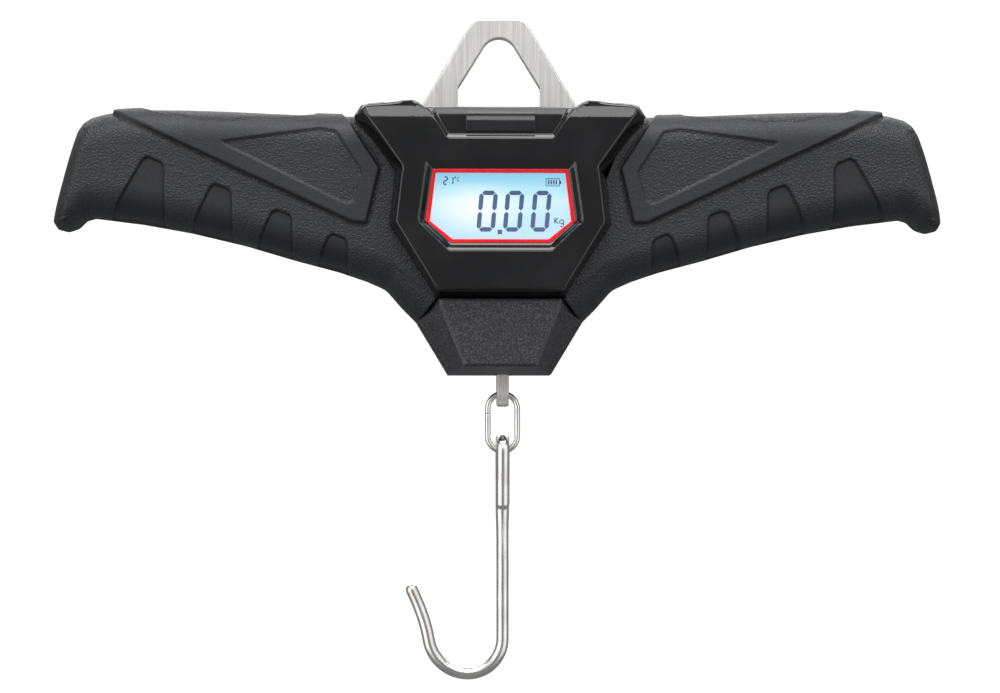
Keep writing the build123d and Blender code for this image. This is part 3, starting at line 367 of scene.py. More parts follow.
@dataclass(frozen=True)
class Backlit:
    """The display's glass, lit from behind: pale at the middle left, bluer at the top and edges."""

    name: str
    glow: float = 1.0
    top_z: float = -0.0495
    low_z: float = -0.0695
    spot_place: tuple[float, float, float] = (-0.008, 0.0, -0.119)
    stops: tuple[tuple[float, Colour], ...] = (
        (0.0, (0.50, 0.75, 0.92)),
        (0.45, (0.60, 0.84, 0.95)),
        (0.8, (0.42, 0.75, 0.90)),
        (1.0, (0.26, 0.60, 0.80)),
    )

    def build(self) -> bpy.types.Material:
        """The glow's colour is a ramp down Z mixed with a wide soft spot left of centre."""
        s = Shader(self.name)
        down = s.axis("Z").step(self.low_z, self.top_z)
        band = s.node("ShaderNodeValToRGB", {"stops": self.stops}, {"Fac": down}, "Color")
        ends = {0: s.stretched(1.0, 0.0, 1.9), 1: self.spot_place}
        away = s.node("ShaderNodeVectorMath", {"operation": "DISTANCE"}, ends, "Value")
        spot = 1.0 - away.step(0.001, 0.021)
        ripple = s.noise(210.0, 3.0)
        colour = s.mix(spot * 0.85, band, (0.93, 0.98, 1.0))
        colour = s.mix(ripple * 0.08, colour, (0.35, 0.58, 0.75))
        s.set(Base_Color=(0.05, 0.07, 0.09), Roughness=(0.3 + 0.1 * ripple).clamped())
        s.set(Emission_Color=colour, Emission_Strength=self.glow)
        return s.material


# ---------------------------------------------------------------- surfaces


def inside(x: np.ndarray, z: np.ndarray, corners: Sequence[Point]) -> np.ndarray:
    """Signed distance to a closed outline: distance to its nearest side, positive inside by the even-odd rule.

    Args:
        x: the points' x.
        z: the points' z.
        corners: the outline's corners, in order.

    Returns:
        One distance for each point.
    """
    best = np.full(x.shape, 1e9)
    odd = np.zeros(x.shape, bool)
    for (ax, az), (bx, bz) in zip(corners, (*corners[1:], corners[0])):
        dx, dz = bx - ax, bz - az
        share = np.clip(((x - ax) * dx + (z - az) * dz) / (dx * dx + dz * dz), 0.0, 1.0)
        best = np.minimum(best, np.hypot(x - ax - share * dx, z - az - share * dz))
        if dz:
            odd ^= ((az > z) != (bz > z)) & (x < ax + (z - az) * dx / dz)
    return np.where(odd, best, -best)


def ease(value: np.ndarray, low: float, high: float) -> np.ndarray:
    """Smooth step.

    Args:
        value: the values.
        low: where the step starts.
        high: where the step ends.

    Returns:
        0 below low, 1 above high, and the cubic 3t^2 - 2t^3 between them.
    """
    t = np.clip((value - low) / (high - low), 0.0, 1.0)
    return t * t * (3.0 - 2.0 * t)


def bell(distance: np.ndarray, width: float) -> np.ndarray:
    """exp(-(distance / width)^2)."""
    return np.exp(-((distance / width) ** 2))


def soften(values: np.ndarray, passes: int, axis: int = 0) -> np.ndarray:
    """Repeated averaging of each row with a quarter of each neighbour, the two end rows held.

    Args:
        values: the rows.
        passes: how many times.
        axis: the axis along which rows lie.

    Returns:
        The averaged values, in the same shape.
    """
    for _ in range(passes):
        rows = np.moveaxis(values, axis, 0)
        rows = np.concatenate([rows[:1], (rows[:-2] + 2 * rows[1:-1] + rows[2:]) / 4, rows[-1:]])
        values = np.moveaxis(rows, 0, axis)
    return values


def mirror_half(half: Sequence[Point]) -> list[Point]:
    """The closed outline whose right half is given from top to bottom."""
    return [*half, *((-x, z) for x, z in reversed(half))]


def new_object(
    name: str, points: np.ndarray, faces: Sequence[Sequence[int]], smooth: bool = True
) -> bpy.types.Object:
    """A mesh object at the origin.

    Args:
        name: the piece's name.
        points: vertices in millimetres.
        faces: vertex indices, anticlockwise seen from outside.
        smooth: whether faces are shaded smooth.

    Returns:
        The linked object.
    """
    mesh = bpy.data.meshes.new(name)
    mesh.from_pydata((points.reshape(-1, 3) * MM).tolist(), [], faces)
    mesh.validate()
    mesh.polygons.foreach_set("use_smooth", np.full(len(mesh.polygons), smooth))
    mesh.update()
    made = bpy.data.objects.new(name, mesh)
    bpy.context.scene.collection.objects.link(made)
    return made


def grid_faces(rows: int, columns: int, around: bool = False, flip: bool = False) -> np.ndarray:
    """Quads of a grid of vertices.

    Args:
        rows: how many rows.
        columns: how many vertices in a row.
        around: whether each row joins round on itself.
        flip: whether to turn the faces over.

    Returns:
        Four vertex indices to a row.
    """
    index = np.arange(rows * columns).reshape(rows, columns)
    right = np.roll(index, -1, axis=1)
    if not around:
        index, right = index[:, :-1], right[:, :-1]
    quads = np.stack([index[:-1], right[:-1], right[1:], index[1:]], axis=-1).reshape(-1, 4)
    return quads[:, ::-1] if flip else quads


def tube(name: str, path: np.ndarray, radii: np.ndarray, sides: int = 28) -> bpy.types.Object:
    """A round bar with domed ends along a path.

    Each ring is the path's point plus radius times (cos a * N + sin a * B), where N and B are carried along the
    path without twisting. Domes are more rings whose radius falls as a quarter circle.

    Args:
        name: the piece's name.
        path: points along the middle, in millimetres.
        radii: the radius at each point.
        sides: points round each ring.

    Returns:
        The linked object.
    """
    tangent = np.gradient(path, axis=0)
    tangent /= np.linalg.norm(tangent, axis=1, keepdims=True)
    frames = np.zeros((len(path), 2, 3))
    normal = np.cross(tangent[0], (0.0, 1.0, 0.0) if abs(tangent[0][1]) < 0.9 else (1.0, 0.0, 0.0))
    for i, t in enumerate(tangent):
        normal = normal - t * normal.dot(t)
        normal /= np.linalg.norm(normal)
        frames[i] = normal, np.cross(t, normal)
    caps = np.linspace(0.0, math.pi / 2, DOME_RINGS + 1)[1:]
    first = path[0] - tangent[0] * radii[0] * np.sin(caps[::-1, None])
    last = path[-1] + tangent[-1] * radii[-1] * np.sin(caps[:, None])
    centres = np.concatenate([first, path, last])
    sizes = np.concatenate([radii[0] * np.cos(caps[::-1]), radii, radii[-1] * np.cos(caps)])
    axes = np.concatenate([frames[:1].repeat(DOME_RINGS, 0), frames, frames[-1:].repeat(DOME_RINGS, 0)])
    turn = np.linspace(0.0, 2 * math.pi, sides, endpoint=False)
    round_ = np.cos(turn)[None, :, None] * axes[:, None, 0] + np.sin(turn)[None, :, None] * axes[:, None, 1]
    rings = centres[:, None] + np.maximum(sizes, 1e-4)[:, None, None] * round_
    count = len(rings)
    faces = grid_faces(count, sides, around=True).tolist()
    faces += [list(range(sides))[::-1], list(range((count - 1) * sides, count * sides))]
    return new_object(name, rings, faces)


def softened(node: str, name: str, width: float) -> bpy.types.Object:
    """A copy of a CAD node with its doubles merged and its sharp edges rounded.

    Args:
        node: the CAD node, which the copy stands for.
        name: the piece's name.
        width: the rounding's width in millimetres.

    Returns:
        The linked object.
    """
    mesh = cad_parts[node].data.copy()
    mesh.materials.clear()
    made = bpy.data.objects.new(name, mesh)
    bpy.context.scene.collection.objects.link(made)
    weld = made.modifiers.new("weld", "WELD")
    weld.merge_threshold = 0.01 * MM
    planar = made.modifiers.new("planar", "DECIMATE")
    planar.decimate_type = "DISSOLVE"
    planar.angle_limit = math.radians(2.0)
    bevel = made.modifiers.new("round", "BEVEL")
    bevel.width = width * MM
    bevel.segments = 3
    bevel.limit_method = "ANGLE"
    bevel.angle_limit = math.radians(25.0)
    bevel.harden_normals = True
    mesh.polygons.foreach_set("use_smooth", np.ones(len(mesh.polygons), bool))
    shading = made.modifiers.new("even", "WEIGHTED_NORMAL")
    shading.keep_sharp = True
    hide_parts(node)
    return made


def dress(made: bpy.types.Object, material: bpy.types.Material, body: str) -> bpy.types.Object:
    """Finishes a piece and reports it.

    Args:
        made: the piece.
        material: its material.
        body: the CAD body it rides on.

    Returns:
        The piece.
    """
    made.data.materials.clear()
    made.data.materials.append(material)
    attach(made, body)
    LOG.info("%s: %d faces, rides on %s", made.name, len(made.data.polygons), body)
    return made


# ---------------------------------------------------------------- grips


@dataclass(frozen=True)
class GripForm:
    """A right grip: matched points along its top and bottom edges, its rounding and its raised features."""

    stations: tuple[tuple[Point, Point], ...] = (
        ((51.6, -28.4), (29.4, -103.0)),
        ((54.0, -28.4), (35.0, -97.4)),
        ((57.0, -28.4), (40.6, -90.9)),
        ((62.0, -28.3), (47.5, -87.8)),
        ((70.0, -28.0), (57.5, -84.4)),
        ((82.0, -27.5), (73.0, -80.3)),
        ((97.0, -26.8), (91.0, -75.0)),
        ((112.0, -26.4), (110.5, -70.4)),
        ((126.0, -26.3), (128.0, -67.3)),
        ((136.0, -26.9), (139.4, -65.9)),
        ((141.0, -27.9), (145.0, -65.2)),
        ((145.8, -29.2), (148.4, -66.2)),
        ((148.8, -31.0), (151.2, -69.0)),
        ((150.8, -33.4), (154.6, -70.1)),
        ((152.0, -36.4), (158.0, -69.3)),
        ((153.0, -40.0), (159.9, -66.4)),
    )
    marks: tuple[float, ...] = (
        *(0.0, 0.03, 0.065, 0.115, 0.19, 0.31, 0.445, 0.58),
        *(0.705, 0.80, 0.855, 0.90, 0.93, 0.955, 0.98, 1.0),
    )
    inner_edge: tuple[Point, ...] = (
        (51.6, -28.4),
        (37.1, -49.5),
        (39.3, -68.4),
        (22.4, -94.3),
        (29.4, -103.0),
    )
    end_line: tuple[Point, Point] = ((151.2, -33.0), (160.1, -67.2))
    half_depth: float = 17.2
    edge_width: float = 12.5
    end_width: float = 7.0
    power: float = 2.3
    panel: tuple[Point, ...] = (
        (54.8, -30.3),
        (56.4, -28.6),
        (58.6, -27.0),
        (64.0, -27.0),
        (66.4, -29.2),
        (78.0, -30.4),
        (94.5, -32.0),
        (107.0, -31.9),
        (119.4, -29.3),
        (127.7, -26.9),
        (131.0, -25.0),
        (139.6, -25.0),
        (137.6, -28.2),
        (52.2, -67.4),
        (47.6, -67.6),
        (43.0, -48.4),
    )
    inset: tuple[Point, ...] = (
        (98.6, -39.0),
        (97.2, -40.2),
        (55.6, -60.6),
        (53.4, -60.8),
        (51.6, -59.7),
        (48.7, -49.6),
        (58.0, -35.6),
        (63.8, -34.6),
    )
    notches: tuple[tuple[Point, ...], ...] = (
        ((139.8, -68.6), (126.6, -45.7), (124.9, -44.6), (120.2, -46.4), (119.2, -48.0), (119.1, -73.0)),
        ((111.9, -74.5), (102.7, -55.4), (101.0, -54.2), (96.2, -56.0), (95.3, -57.5), (95.1, -79.0)),
        ((88.6, -80.5), (81.0, -64.3), (79.0, -63.4), (74.8, -64.9), (73.9, -66.5), (73.8, -84.5)),
        ((67.2, -87.0), (61.0, -73.0), (59.3, -71.8), (55.1, -73.4), (54.2, -75.0), (54.1, -90.0)),
    )
    panel_rise: float = 1.15
    inset_sink: float = 0.8
    notch_sink: float = 1.0
    foot_groove: float = 0.45
    notch_groove: float = 0.45
    bow_reach: float = 0.24
    even_share: float = 0.93
    end_columns: int = 44
    edge_crowding: float = 0.8


@dataclass
class Grips:
    """The two rubber grips, each a front and a rear half that meet at Y = 0."""

    form: GripForm = field(default_factory=GripForm)
    rubber: GrippyRubber = GrippyRubber("grip_rubber", (0.0115, 0.012, 0.0135))
    front_grid: tuple[int, int] = (470, 170)
    rear_grid: tuple[int, int] = (240, 90)

    def along(self, columns: int) -> np.ndarray:
        """Shares of a grip's length, even at first, then closing up over the rounded end as a quarter sine."""
        share, count = self.form.even_share, self.form.end_columns
        steady = np.linspace(0.0, share, columns - count, endpoint=False)
        return np.concatenate([steady, share + (1.0 - share) * np.sin(np.linspace(0.0, math.pi / 2, count))])

    def outline_grid(self, columns: int, rows: int) -> tuple[np.ndarray, np.ndarray, np.ndarray, np.ndarray]:
        """The grip's silhouette as a grid.

        Each column runs straight from the top edge to the bottom edge. Near the body the columns bow towards the
        body's outline, by a share that falls with the square of the distance. Rows close up at both edges as a
        cosine.

        Args:
            columns: how many columns along the grip.
            rows: how many rows from top to bottom.

        Returns:
            x, z, the distance to the nearer long edge, and the distance to the end, all in millimetres.
        """
        s = self.along(columns)
        stations = np.array(self.form.stations, float)
        tops, lows = (
            soften(np.stack([np.interp(s, self.form.marks, stations[:, end, k]) for k in (0, 1)], axis=-1), 3)
            for end in (0, 1)
        )
        share = np.linspace(0.0, 1.0, rows)
        crowded = (1.0 - np.cos(math.pi * share)) / 2.0
        t = share + self.form.edge_crowding * (crowded - share)
        points = tops[None] + (lows - tops)[None] * t[:, None, None]
        inner = np.array(self.form.inner_edge)
        bow = np.interp(-points[:, 0, 1], -inner[:, 1], inner[:, 0]) - points[:, 0, 0]
        points[..., 0] += bow[:, None] * (np.clip(1.0 - s / self.form.bow_reach, 0.0, 1.0) ** 2)[None]
        length = np.linalg.norm(lows - tops, axis=1)[None]
        edge = np.minimum(t, 1.0 - t)[:, None] * length
        (ax, az), (bx, bz) = self.form.end_line
        run = math.hypot(bx - ax, bz - az)
        end = ((points[..., 1] - az) * (bx - ax) - (points[..., 0] - ax) * (bz - az)) / run
        return points[..., 0], points[..., 1], edge, np.abs(end)

    def surface(self, columns: int, rows: int, face: Face) -> tuple[np.ndarray, dict[str, np.ndarray]]:
        """A half grip's skin on its grid.

        Depth is half_depth * ((1 - a^p) * (1 - b^p))^(1/p), where a and b fall from 1 to 0 over the rounding at
        the long edges and at the end. The raised panel, its inset and the notches then move the skin along its
        normal, and a bell of the distance to an outline makes each groove. Like bells make the crease mask,
        painted shade that darkens the colour along the panel's foot, round the notches and at the inset's edge.

        Args:
            columns: how many columns along the grip.
            rows: how many rows from top to bottom.
            face: which half. The rear one is plain.

        Returns:
            Points, and a mask for each zone.
        """
        f = self.form
        x, z, edge, end = self.outline_grid(columns, rows)
        a = np.clip(1.0 - edge / f.edge_width, 0.0, 1.0)
        b = np.clip(1.0 - end / f.end_width, 0.0, 1.0)
        b[:, -1] = 1.0
        depth = f.half_depth * ((1.0 - a**f.power) * (1.0 - b**f.power)) ** (1.0 / f.power)
        skin = np.stack([x, face.value * depth, z], axis=-1)
        zones = {name: np.zeros_like(x) for name in ("panel", "inset", "notch", "crease")}
        if face is Face.REAR:
            return skin, zones
        down, across = np.gradient(skin, axis=0), np.gradient(skin, axis=1)
        normal = np.cross(across, down)
        normal /= np.maximum(np.linalg.norm(normal, axis=-1, keepdims=True), 1e-9)
        normal *= np.where(normal[..., 1:2] > 0, -1.0, 1.0)
        panel = inside(x, z, f.panel)
        inset = inside(x, z, f.inset)
        notch = np.max([inside(x, z, outline) for outline in f.notches], axis=0)
        held = ease(depth, 3.0, 7.0)
        zones["panel"] = ease(panel, -0.5, 0.4) * held
        zones["inset"] = ease(inset, -0.4, 0.5)
        clear = ease(depth, 0.0, 2.0)
        zones["notch"] = ease(notch, -0.15, 0.35) * clear
        move = f.panel_rise * zones["panel"] - f.foot_groove * bell(panel + 0.9, 0.7) * held
        move -= f.inset_sink * zones["inset"]
        move -= f.notch_sink * zones["notch"] + f.notch_groove * bell(notch, 0.35) * clear
        # The crease mask is painted shade: bells along the panel's foot, the notch outlines and the inset's edge
        # darken the colour there.
        crease_shading = bell(panel + 0.75, 0.75) * held + bell(notch, 0.45) + 0.5 * bell(inset, 0.5)
        zones["crease"] = np.clip(crease_shading, 0.0, 1.0)
        return skin + normal * move[..., None], zones

    def half(self, side: Side, face: Face) -> bpy.types.Object:
        """One half grip: its skin, closed by a flat back on the split plane.

        Args:
            side: which grip. The left one is the right one with its X turned over.
            face: which half.

        Returns:
            The half, with one mesh attribute to each zone.
        """
        columns, rows = self.front_grid if face is Face.FRONT else self.rear_grid
        skin, zones = self.surface(columns, rows, face)
        skin[..., 0] *= side.value
        skin[0, :, 1] = skin[-1, :, 1] = 0.0
        skin[:, -1, 1] = 0.0
        flip = (side is Side.RIGHT) == (face is Face.REAR)
        faces = grid_faces(rows, columns, flip=not flip).tolist()
        index = np.arange(rows * columns).reshape(rows, columns)
        back = np.stack([index[0, :-1], index[-1, :-1], index[-1, 1:], index[0, 1:]], axis=-1)
        back = back if flip else back[:, ::-1]
        faces += back.tolist()
        inner = index[:, 0].tolist()
        outer = index[:, -1].tolist()
        faces += [inner if flip else inner[::-1], outer[::-1] if flip else outer]
        name = f"{side.name.lower()}_grip_{face.name.lower()}_skin"
        made = new_object(name, skin, faces)
        for zone, mask in zones.items():
            layer = made.data.attributes.new(zone, "FLOAT", "POINT")
            layer.data.foreach_set("value", mask.ravel().astype(np.float32))
        return made

    def build(self) -> None:
        """All four halves, each standing for its CAD node."""
        material = self.rubber.build()
        for side in Side:
            for face in Face:
                made = self.half(side, face)
                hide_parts(f"{side.name.lower()}_grip_{face.name.lower()}")
                dress(made, material, "body")


# ---------------------------------------------------------------- display head


@dataclass
class Readout:
    """The liquid-crystal picture: slanted seven-segment digits, a thermometer reading and a battery sign."""

    weight: str = "0.00"
    digits_x: tuple[float, ...] = (-4.6, 4.8, 14.5)
    digit_z: float = -63.5
    height: float = 14.6
    width: float = 6.6
    stroke: float = 1.6
    dot: Point = (-0.1, -70.9)
    slant: float = 5.0
    face_y: float = -16.02
    thickness: float = 0.04
    temperature_x: tuple[float, float] = (-19.4, -17.3)
    temperature_z: float = -52.7
    small_height: float = 3.1
    unit: tuple[tuple[Point, Point], ...] = (
        ((19.4, -65.7), (19.4, -68.0)),
        ((19.5, -66.9), (20.6, -65.8)),
        ((19.5, -66.8), (20.7, -68.0)),
        ((21.3, -66.6), (22.4, -66.6)),
        ((21.2, -66.6), (21.2, -67.9)),
        ((21.3, -67.9), (22.4, -67.9)),
        ((22.5, -66.6), (22.5, -68.9)),
        ((22.4, -69.0), (21.3, -69.0)),
    )
    segments: dict[str, str] = field(
        default_factory=lambda: {"0": "abcdef", "1": "bc", "2": "abged", "C": "afed"}
    )

    def bar(self, start: Point, end: Point, stroke: float) -> list[Point]:
        """A hexagon whose long sides are a stroke apart, and whose tips are half a stroke long.

        Args:
            start: one tip.
            end: the other tip.
            stroke: its width.

        Returns:
            Its corners in order.
        """
        a, b = np.array(start), np.array(end)
        along = (b - a) / np.linalg.norm(b - a) * stroke / 2
        across = np.array((-along[1], along[0]))
        upper = (a + along + across, b - along + across)
        lower = (b - along - across, a + along - across)
        return [tuple(corner) for corner in (a, *upper, b, *lower)]

    def digit(
        self, shape: str, x: float, z: float, height: float, width: float, stroke: float
    ) -> list[list[Point]]:
        """One seven-segment figure, leaning by slant.

        Args:
            shape: the figure.
            x: its middle's x.
            z: its middle's z.
            height: its height.
            width: its width.
            stroke: the width of a segment.

        Returns:
            A hexagon for each segment that is lit.
        """
        w, h, gap = (width - stroke) / 2, (height - stroke) / 2, 0.1 * stroke
        ends = {
            "a": ((-w + gap, h), (w - gap, h)),
            "b": ((w, h - gap), (w, gap)),
            "c": ((w, -gap), (w, -h + gap)),
            "d": ((-w + gap, -h), (w - gap, -h)),
            "e": ((-w, -gap), (-w, -h + gap)),
            "f": ((-w, h - gap), (-w, gap)),
            "g": ((-w + gap, 0.0), (w - gap, 0.0)),
        }
        lean = math.tan(math.radians(self.slant))
        made = []
        for name in self.segments[shape]:
            hexagon = self.bar(*ends[name], stroke)
            made.append([(x + px + lean * pz, z + pz) for px, pz in hexagon])
        return made

    def rectangle(self, x0: float, x1: float, z0: float, z1: float) -> list[Point]:
        """An upright rectangle."""
        return [(x0, z0), (x1, z0), (x1, z1), (x0, z1)]

    def shapes(self) -> list[list[Point]]:
        """Every dark shape of the picture."""
        figures = [c for c in self.weight if c != "."]
        made: list[list[Point]] = []
        for x, figure in zip(self.digits_x, figures):
            made += self.digit(figure, x, self.digit_z, self.height, self.width, self.stroke)
        x, z = self.dot
        made.append(self.rectangle(x - 0.8, x + 0.8, z - 0.8, z + 0.8))
        for x, figure in zip(self.temperature_x, "21"):
            made += self.digit(figure, x, self.temperature_z, self.small_height, 1.6, 0.48)
        turn = np.linspace(0.0, 2 * math.pi, 10, endpoint=False)
        ring = [(-15.9 + 0.3 * math.cos(a), -51.5 + 0.3 * math.sin(a)) for a in turn]
        made += [ring] + self.digit("C", -14.8, -52.2, 1.5, 1.0, 0.26)
        made += [self.rectangle(16.2, 21.2, z, z + 0.25) for z in (-54.6, -52.05)]
        made += [self.rectangle(x, x + 0.25, -54.6, -51.8) for x in (16.2, 20.95)]
        made.append(self.rectangle(21.2, 21.7, -53.8, -52.7))
        made += [self.rectangle(x, x + 0.5, -54.0, -52.4) for x in (17.0, 17.9, 18.8, 19.7)]
        made += [self.bar(start, end, 0.4) for start, end in self.unit]
        return made

    def build(self) -> bpy.types.Object:
        """One mesh of thin prisms, each a shape's outline carried straight back."""
        points: list[tuple[float, float, float]] = []
        faces: list[list[int]] = []
        for shape in self.shapes():
            area = sum(a[0] * b[1] - b[0] * a[1] for a, b in zip(shape, (*shape[1:], shape[0])))
            outline = shape if area > 0 else shape[::-1]
            n, first = len(outline), len(points)
            points += [(x, self.face_y - self.thickness, z) for x, z in outline]
            points += [(x, self.face_y, z) for x, z in outline]
            faces.append([first + i for i in range(n)])
            faces.append([first + n + i for i in range(n)][::-1])
            ring = [(first + i, first + (i + 1) % n) for i in range(n)]
            faces += [[here, here + n, after + n, after] for here, after in ring]
        return new_object("lcd_segments", np.array(points), faces, smooth=False)


@dataclass
class BezelForm:
    """The bezel's skin: one sheet over its outline, open at the window, thickened inwards."""

    outline: tuple[Point, ...] = (
        (26.9, -26.4),
        (30.0, -24.6),
        (49.2, -25.9),
        (51.8, -29.9),
        (37.4, -49.5),
        (39.6, -68.4),
        (22.7, -94.3),
    )
    face: tuple[Point, ...] = (
        (26.4, -26.4),
        (29.5, -24.6),
        (47.3, -25.9),
        (48.7, -28.3),
        (34.6, -47.9),
        (37.0, -67.7),
        (22.4, -91.4),
    )
    recess: tuple[Point, ...] = ((26.2, -46.4), (29.1, -67.2), (18.4, -77.8))
    recess_floor: tuple[Point, ...] = ((24.0, -48.8), (26.7, -67.4), (17.7, -75.3))
    opening: tuple[Point, ...] = ((23.3, -49.6), (25.7, -67.4), (17.2, -74.5))
    badge: tuple[Point, ...] = ((29.5, -20.0), (18.6, -37.6))
    front_y: float = -23.95
    base_y: float = -16.9
    recess_y: float = -21.5
    badge_sink: float = 1.1
    brow_drop: float = 1.7
    brow_height: float = 9.0
    wall: float = 1.1
    rows: int = 200
    columns: int = 292

    def grid(self) -> tuple[np.ndarray, np.ndarray]:
        """The outline filled with a grid.

        Columns are even shares of the half width at each height, and rows are even shares from the top edge,
        which dips at the middle, to the bottom edge.

        Returns:
            x and z of each vertex.
        """
        share = np.linspace(-1.0, 1.0, self.columns)[None]
        line = np.array(self.outline)
        top = np.interp(np.abs(share) * 50.2, line[:3, 0], line[:3, 1])
        z = top + (line[-1, 1] - top) * np.linspace(0.0, 1.0, self.rows)[:, None]
        return share * np.interp(-z, -line[2:, 1], line[2:, 0]), z

    def depth(self, x: np.ndarray, z: np.ndarray) -> np.ndarray:
        """The skin's Y.

        It rises from base_y at the outline to front_y at the face, in proportion to the share of the way between
        them. The brow falls back with the square of the height above its foot. The badge field and the recess
        round the window then sink it, and averaging both ways rounds every edge.

        Args:
            x: the vertices' x.
            z: the vertices' z.

        Returns:
            Their Y.
        """
        to_edge = np.maximum(inside(x, z, mirror_half(self.outline)), 0.0)
        to_face = np.maximum(-inside(x, z, mirror_half(self.face)), 0.0)
        y = self.base_y + (self.front_y - self.base_y) * to_edge / np.maximum(to_edge + to_face, 1e-6)
        brow = np.clip(1.0 - (-24.6 - z) / self.brow_height, 0.0, 1.0)
        y = np.maximum(y, self.front_y + self.brow_drop * brow**2)
        badge = ease(inside(x, z, mirror_half(self.badge)), -0.25, 0.25)
        y = y + badge * np.maximum(0.0, self.badge_sink - 0.4 * brow)
        into = inside(x, z, mirror_half(self.recess))
        left = np.maximum(-inside(x, z, mirror_half(self.recess_floor)), 0.0)
        slope = np.clip(into / np.maximum(into + left, 1e-6), 0.0, 1.0)
        y = np.where(into > 0.0, y + (self.recess_y - y) * slope, y)
        return np.minimum(soften(soften(y, 3, 0), 3, 1), self.base_y)

    def build(self) -> bpy.types.Object:
        """The sheet with its window cut, and a Solidify to give the wall."""
        x, z = self.grid()
        skin = np.stack([x, self.depth(x, z), z], axis=-1)
        quads = grid_faces(self.rows, self.columns, flip=True)
        middle = skin.reshape(-1, 3)[quads].mean(axis=1)
        keep = inside(middle[:, 0], middle[:, 2], mirror_half(self.opening)) < 0.0
        made = new_object("bezel_shell", skin, quads[keep].tolist())
        wall = made.modifiers.new("wall", "SOLIDIFY")
        wall.thickness = self.wall * MM
        wall.offset = -1.0
        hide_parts("display_bezel")
        return made


@dataclass
class DisplayHead:
    """The gloss bezel, its badge, the red ring, the window and the display behind it."""

    form: BezelForm = field(default_factory=BezelForm)
    readout: Readout = field(default_factory=Readout)
    bezel: Gloss = Gloss("bezel_gloss", (0.0065, 0.0065, 0.007), 0.07, 0.5)
    plate: Gloss = Gloss("plate_gloss", (0.012, 0.012, 0.013), 0.16, 0.3)
    ring: Gloss = Gloss("red_trim", (0.90, 0.008, 0.014), 0.16, 0.5)
    ink: Gloss = Gloss("lcd_ink", (0.085, 0.145, 0.31), 0.45, 0.0)
    glass: Backlit = Backlit("lcd_glass", 1.12)
    window: ClearWindow = ClearWindow("window_clear")

    def build(self) -> None:
        """Rounds the bezel, plate and ring, then adds the picture."""
        dress(self.form.build(), self.bezel.build(), "body")
        dress(softened("name_plate", "badge_plate", 0.2), self.plate.build(), "body")
        dress(softened("window_trim", "red_ring", 0.3), self.ring.build(), "body")
        dress(self.readout.build(), self.ink.build(), "body")
        carry("lcd_glass", self.glass.build())
        carry("display_window", self.window.build())


def carry(node: str, material: bpy.types.Material) -> None:
    """Gives a CAD node that stays a better material.

    Args:
        node: the node's name.
        material: its new material.
    """
    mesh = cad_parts[node].data
    if not mesh.materials:
        mesh.materials.append(material)
    for index in range(len(mesh.materials)):
        mesh.materials[index] = material
    LOG.info("%s: carried over", node)


# ---------------------------------------------------------------- housing


@dataclass
class Housing:
    """The shells, the nose, the battery door and the buttons on the back."""

    shell: Moulded = Moulded("housing_plastic", (0.012, 0.012, 0.0135), 0.42, 2600.0, 0.05)
    nose: Moulded = Moulded("nose_plastic", (0.021, 0.020, 0.022), 0.42, 2100.0, 0.10, 1.3)
    keys: Moulded = Moulded("button_rubber", (0.045, 0.046, 0.050), 0.55, 1900.0, 0.05)
    screws: Polished = Polished("zinc_steel", (0.62, 0.62, 0.60), 0.24, 0.2)

    def build(self) -> None:
        """Rounds every moulding by a small radius."""
        shell, keys, screws = self.shell.build(), self.keys.build(), self.screws.build()
        dress(softened("front_shell", "front_moulding", 0.4), shell, "body")
        dress(softened("rear_shell", "rear_moulding", 0.5), shell, "body")
        dress(softened("nose_cover", "nose_moulding", 0.7), self.nose.build(), "body")
        dress(softened("battery_door", "door_moulding", 0.4), shell, "door")
        for name in ("power_button", "unit_button", "tare_button"):
            dress(softened(name, f"{name}_cap", 0.3), keys, name)
        dress(softened("door_screw", "door_screw_turned", 0.12), screws, "door_screw")
        dress(softened("shell_screws", "shell_screws_turned", 0.12), screws, "body")


# ---------------------------------------------------------------- load train


def arc(centre: Point, radius: float, start: float, sweep: float, count: int) -> np.ndarray:
    """Points centre + radius * (cos, sin) along an arc.

    Args:
        centre: the arc's centre.
        radius: its radius.
        start: the first angle, in degrees.
        sweep: how far it turns, in degrees, anticlockwise if positive.
        count: how many points.

    Returns:
        One row for each point.
    """
    angle = np.radians(start + np.linspace(0.0, sweep, count))
    return np.stack([centre[0] + radius * np.cos(angle), centre[1] + radius * np.sin(angle)], axis=-1)


def bend(
    start: Sequence[float], end: Sequence[float], leave: Sequence[float], arrive: Sequence[float], count: int
) -> np.ndarray:
    """A cubic Hermite curve: both ends and their speeds, blended by the four Hermite cubics.

    Args:
        start: the first point.
        end: the last point.
        leave: the speed at the first point.
        arrive: the speed at the last point.
        count: how many points.

    Returns:
        One row for each point.
    """
    t = np.linspace(0.0, 1.0, count)[:, None]
    a, b, u, v = (np.array(q, float) for q in (start, end, leave, arrive))
    places = (2 * t**3 - 3 * t**2 + 1) * a + (3 * t**2 - 2 * t**3) * b
    return places + (t**3 - 2 * t**2 + t) * u + (t**3 - t**2) * v


def even(path: np.ndarray, spacing: float) -> np.ndarray:
    """A path with its points moved along it to equal spacing.

    Args:
        path: the points.
        spacing: about how far apart they end up, in millimetres.

    Returns:
        The new points.
    """
    path = path[np.concatenate([[True], np.linalg.norm(np.diff(path, axis=0), axis=1) > 1e-5])]
    along = np.concatenate([[0.0], np.cumsum(np.linalg.norm(np.diff(path, axis=0), axis=1))])
    at = np.linspace(0.0, along[-1], int(along[-1] / spacing) + 2)
    return np.stack([np.interp(at, along, path[:, k]) for k in range(path.shape[1])], axis=-1)


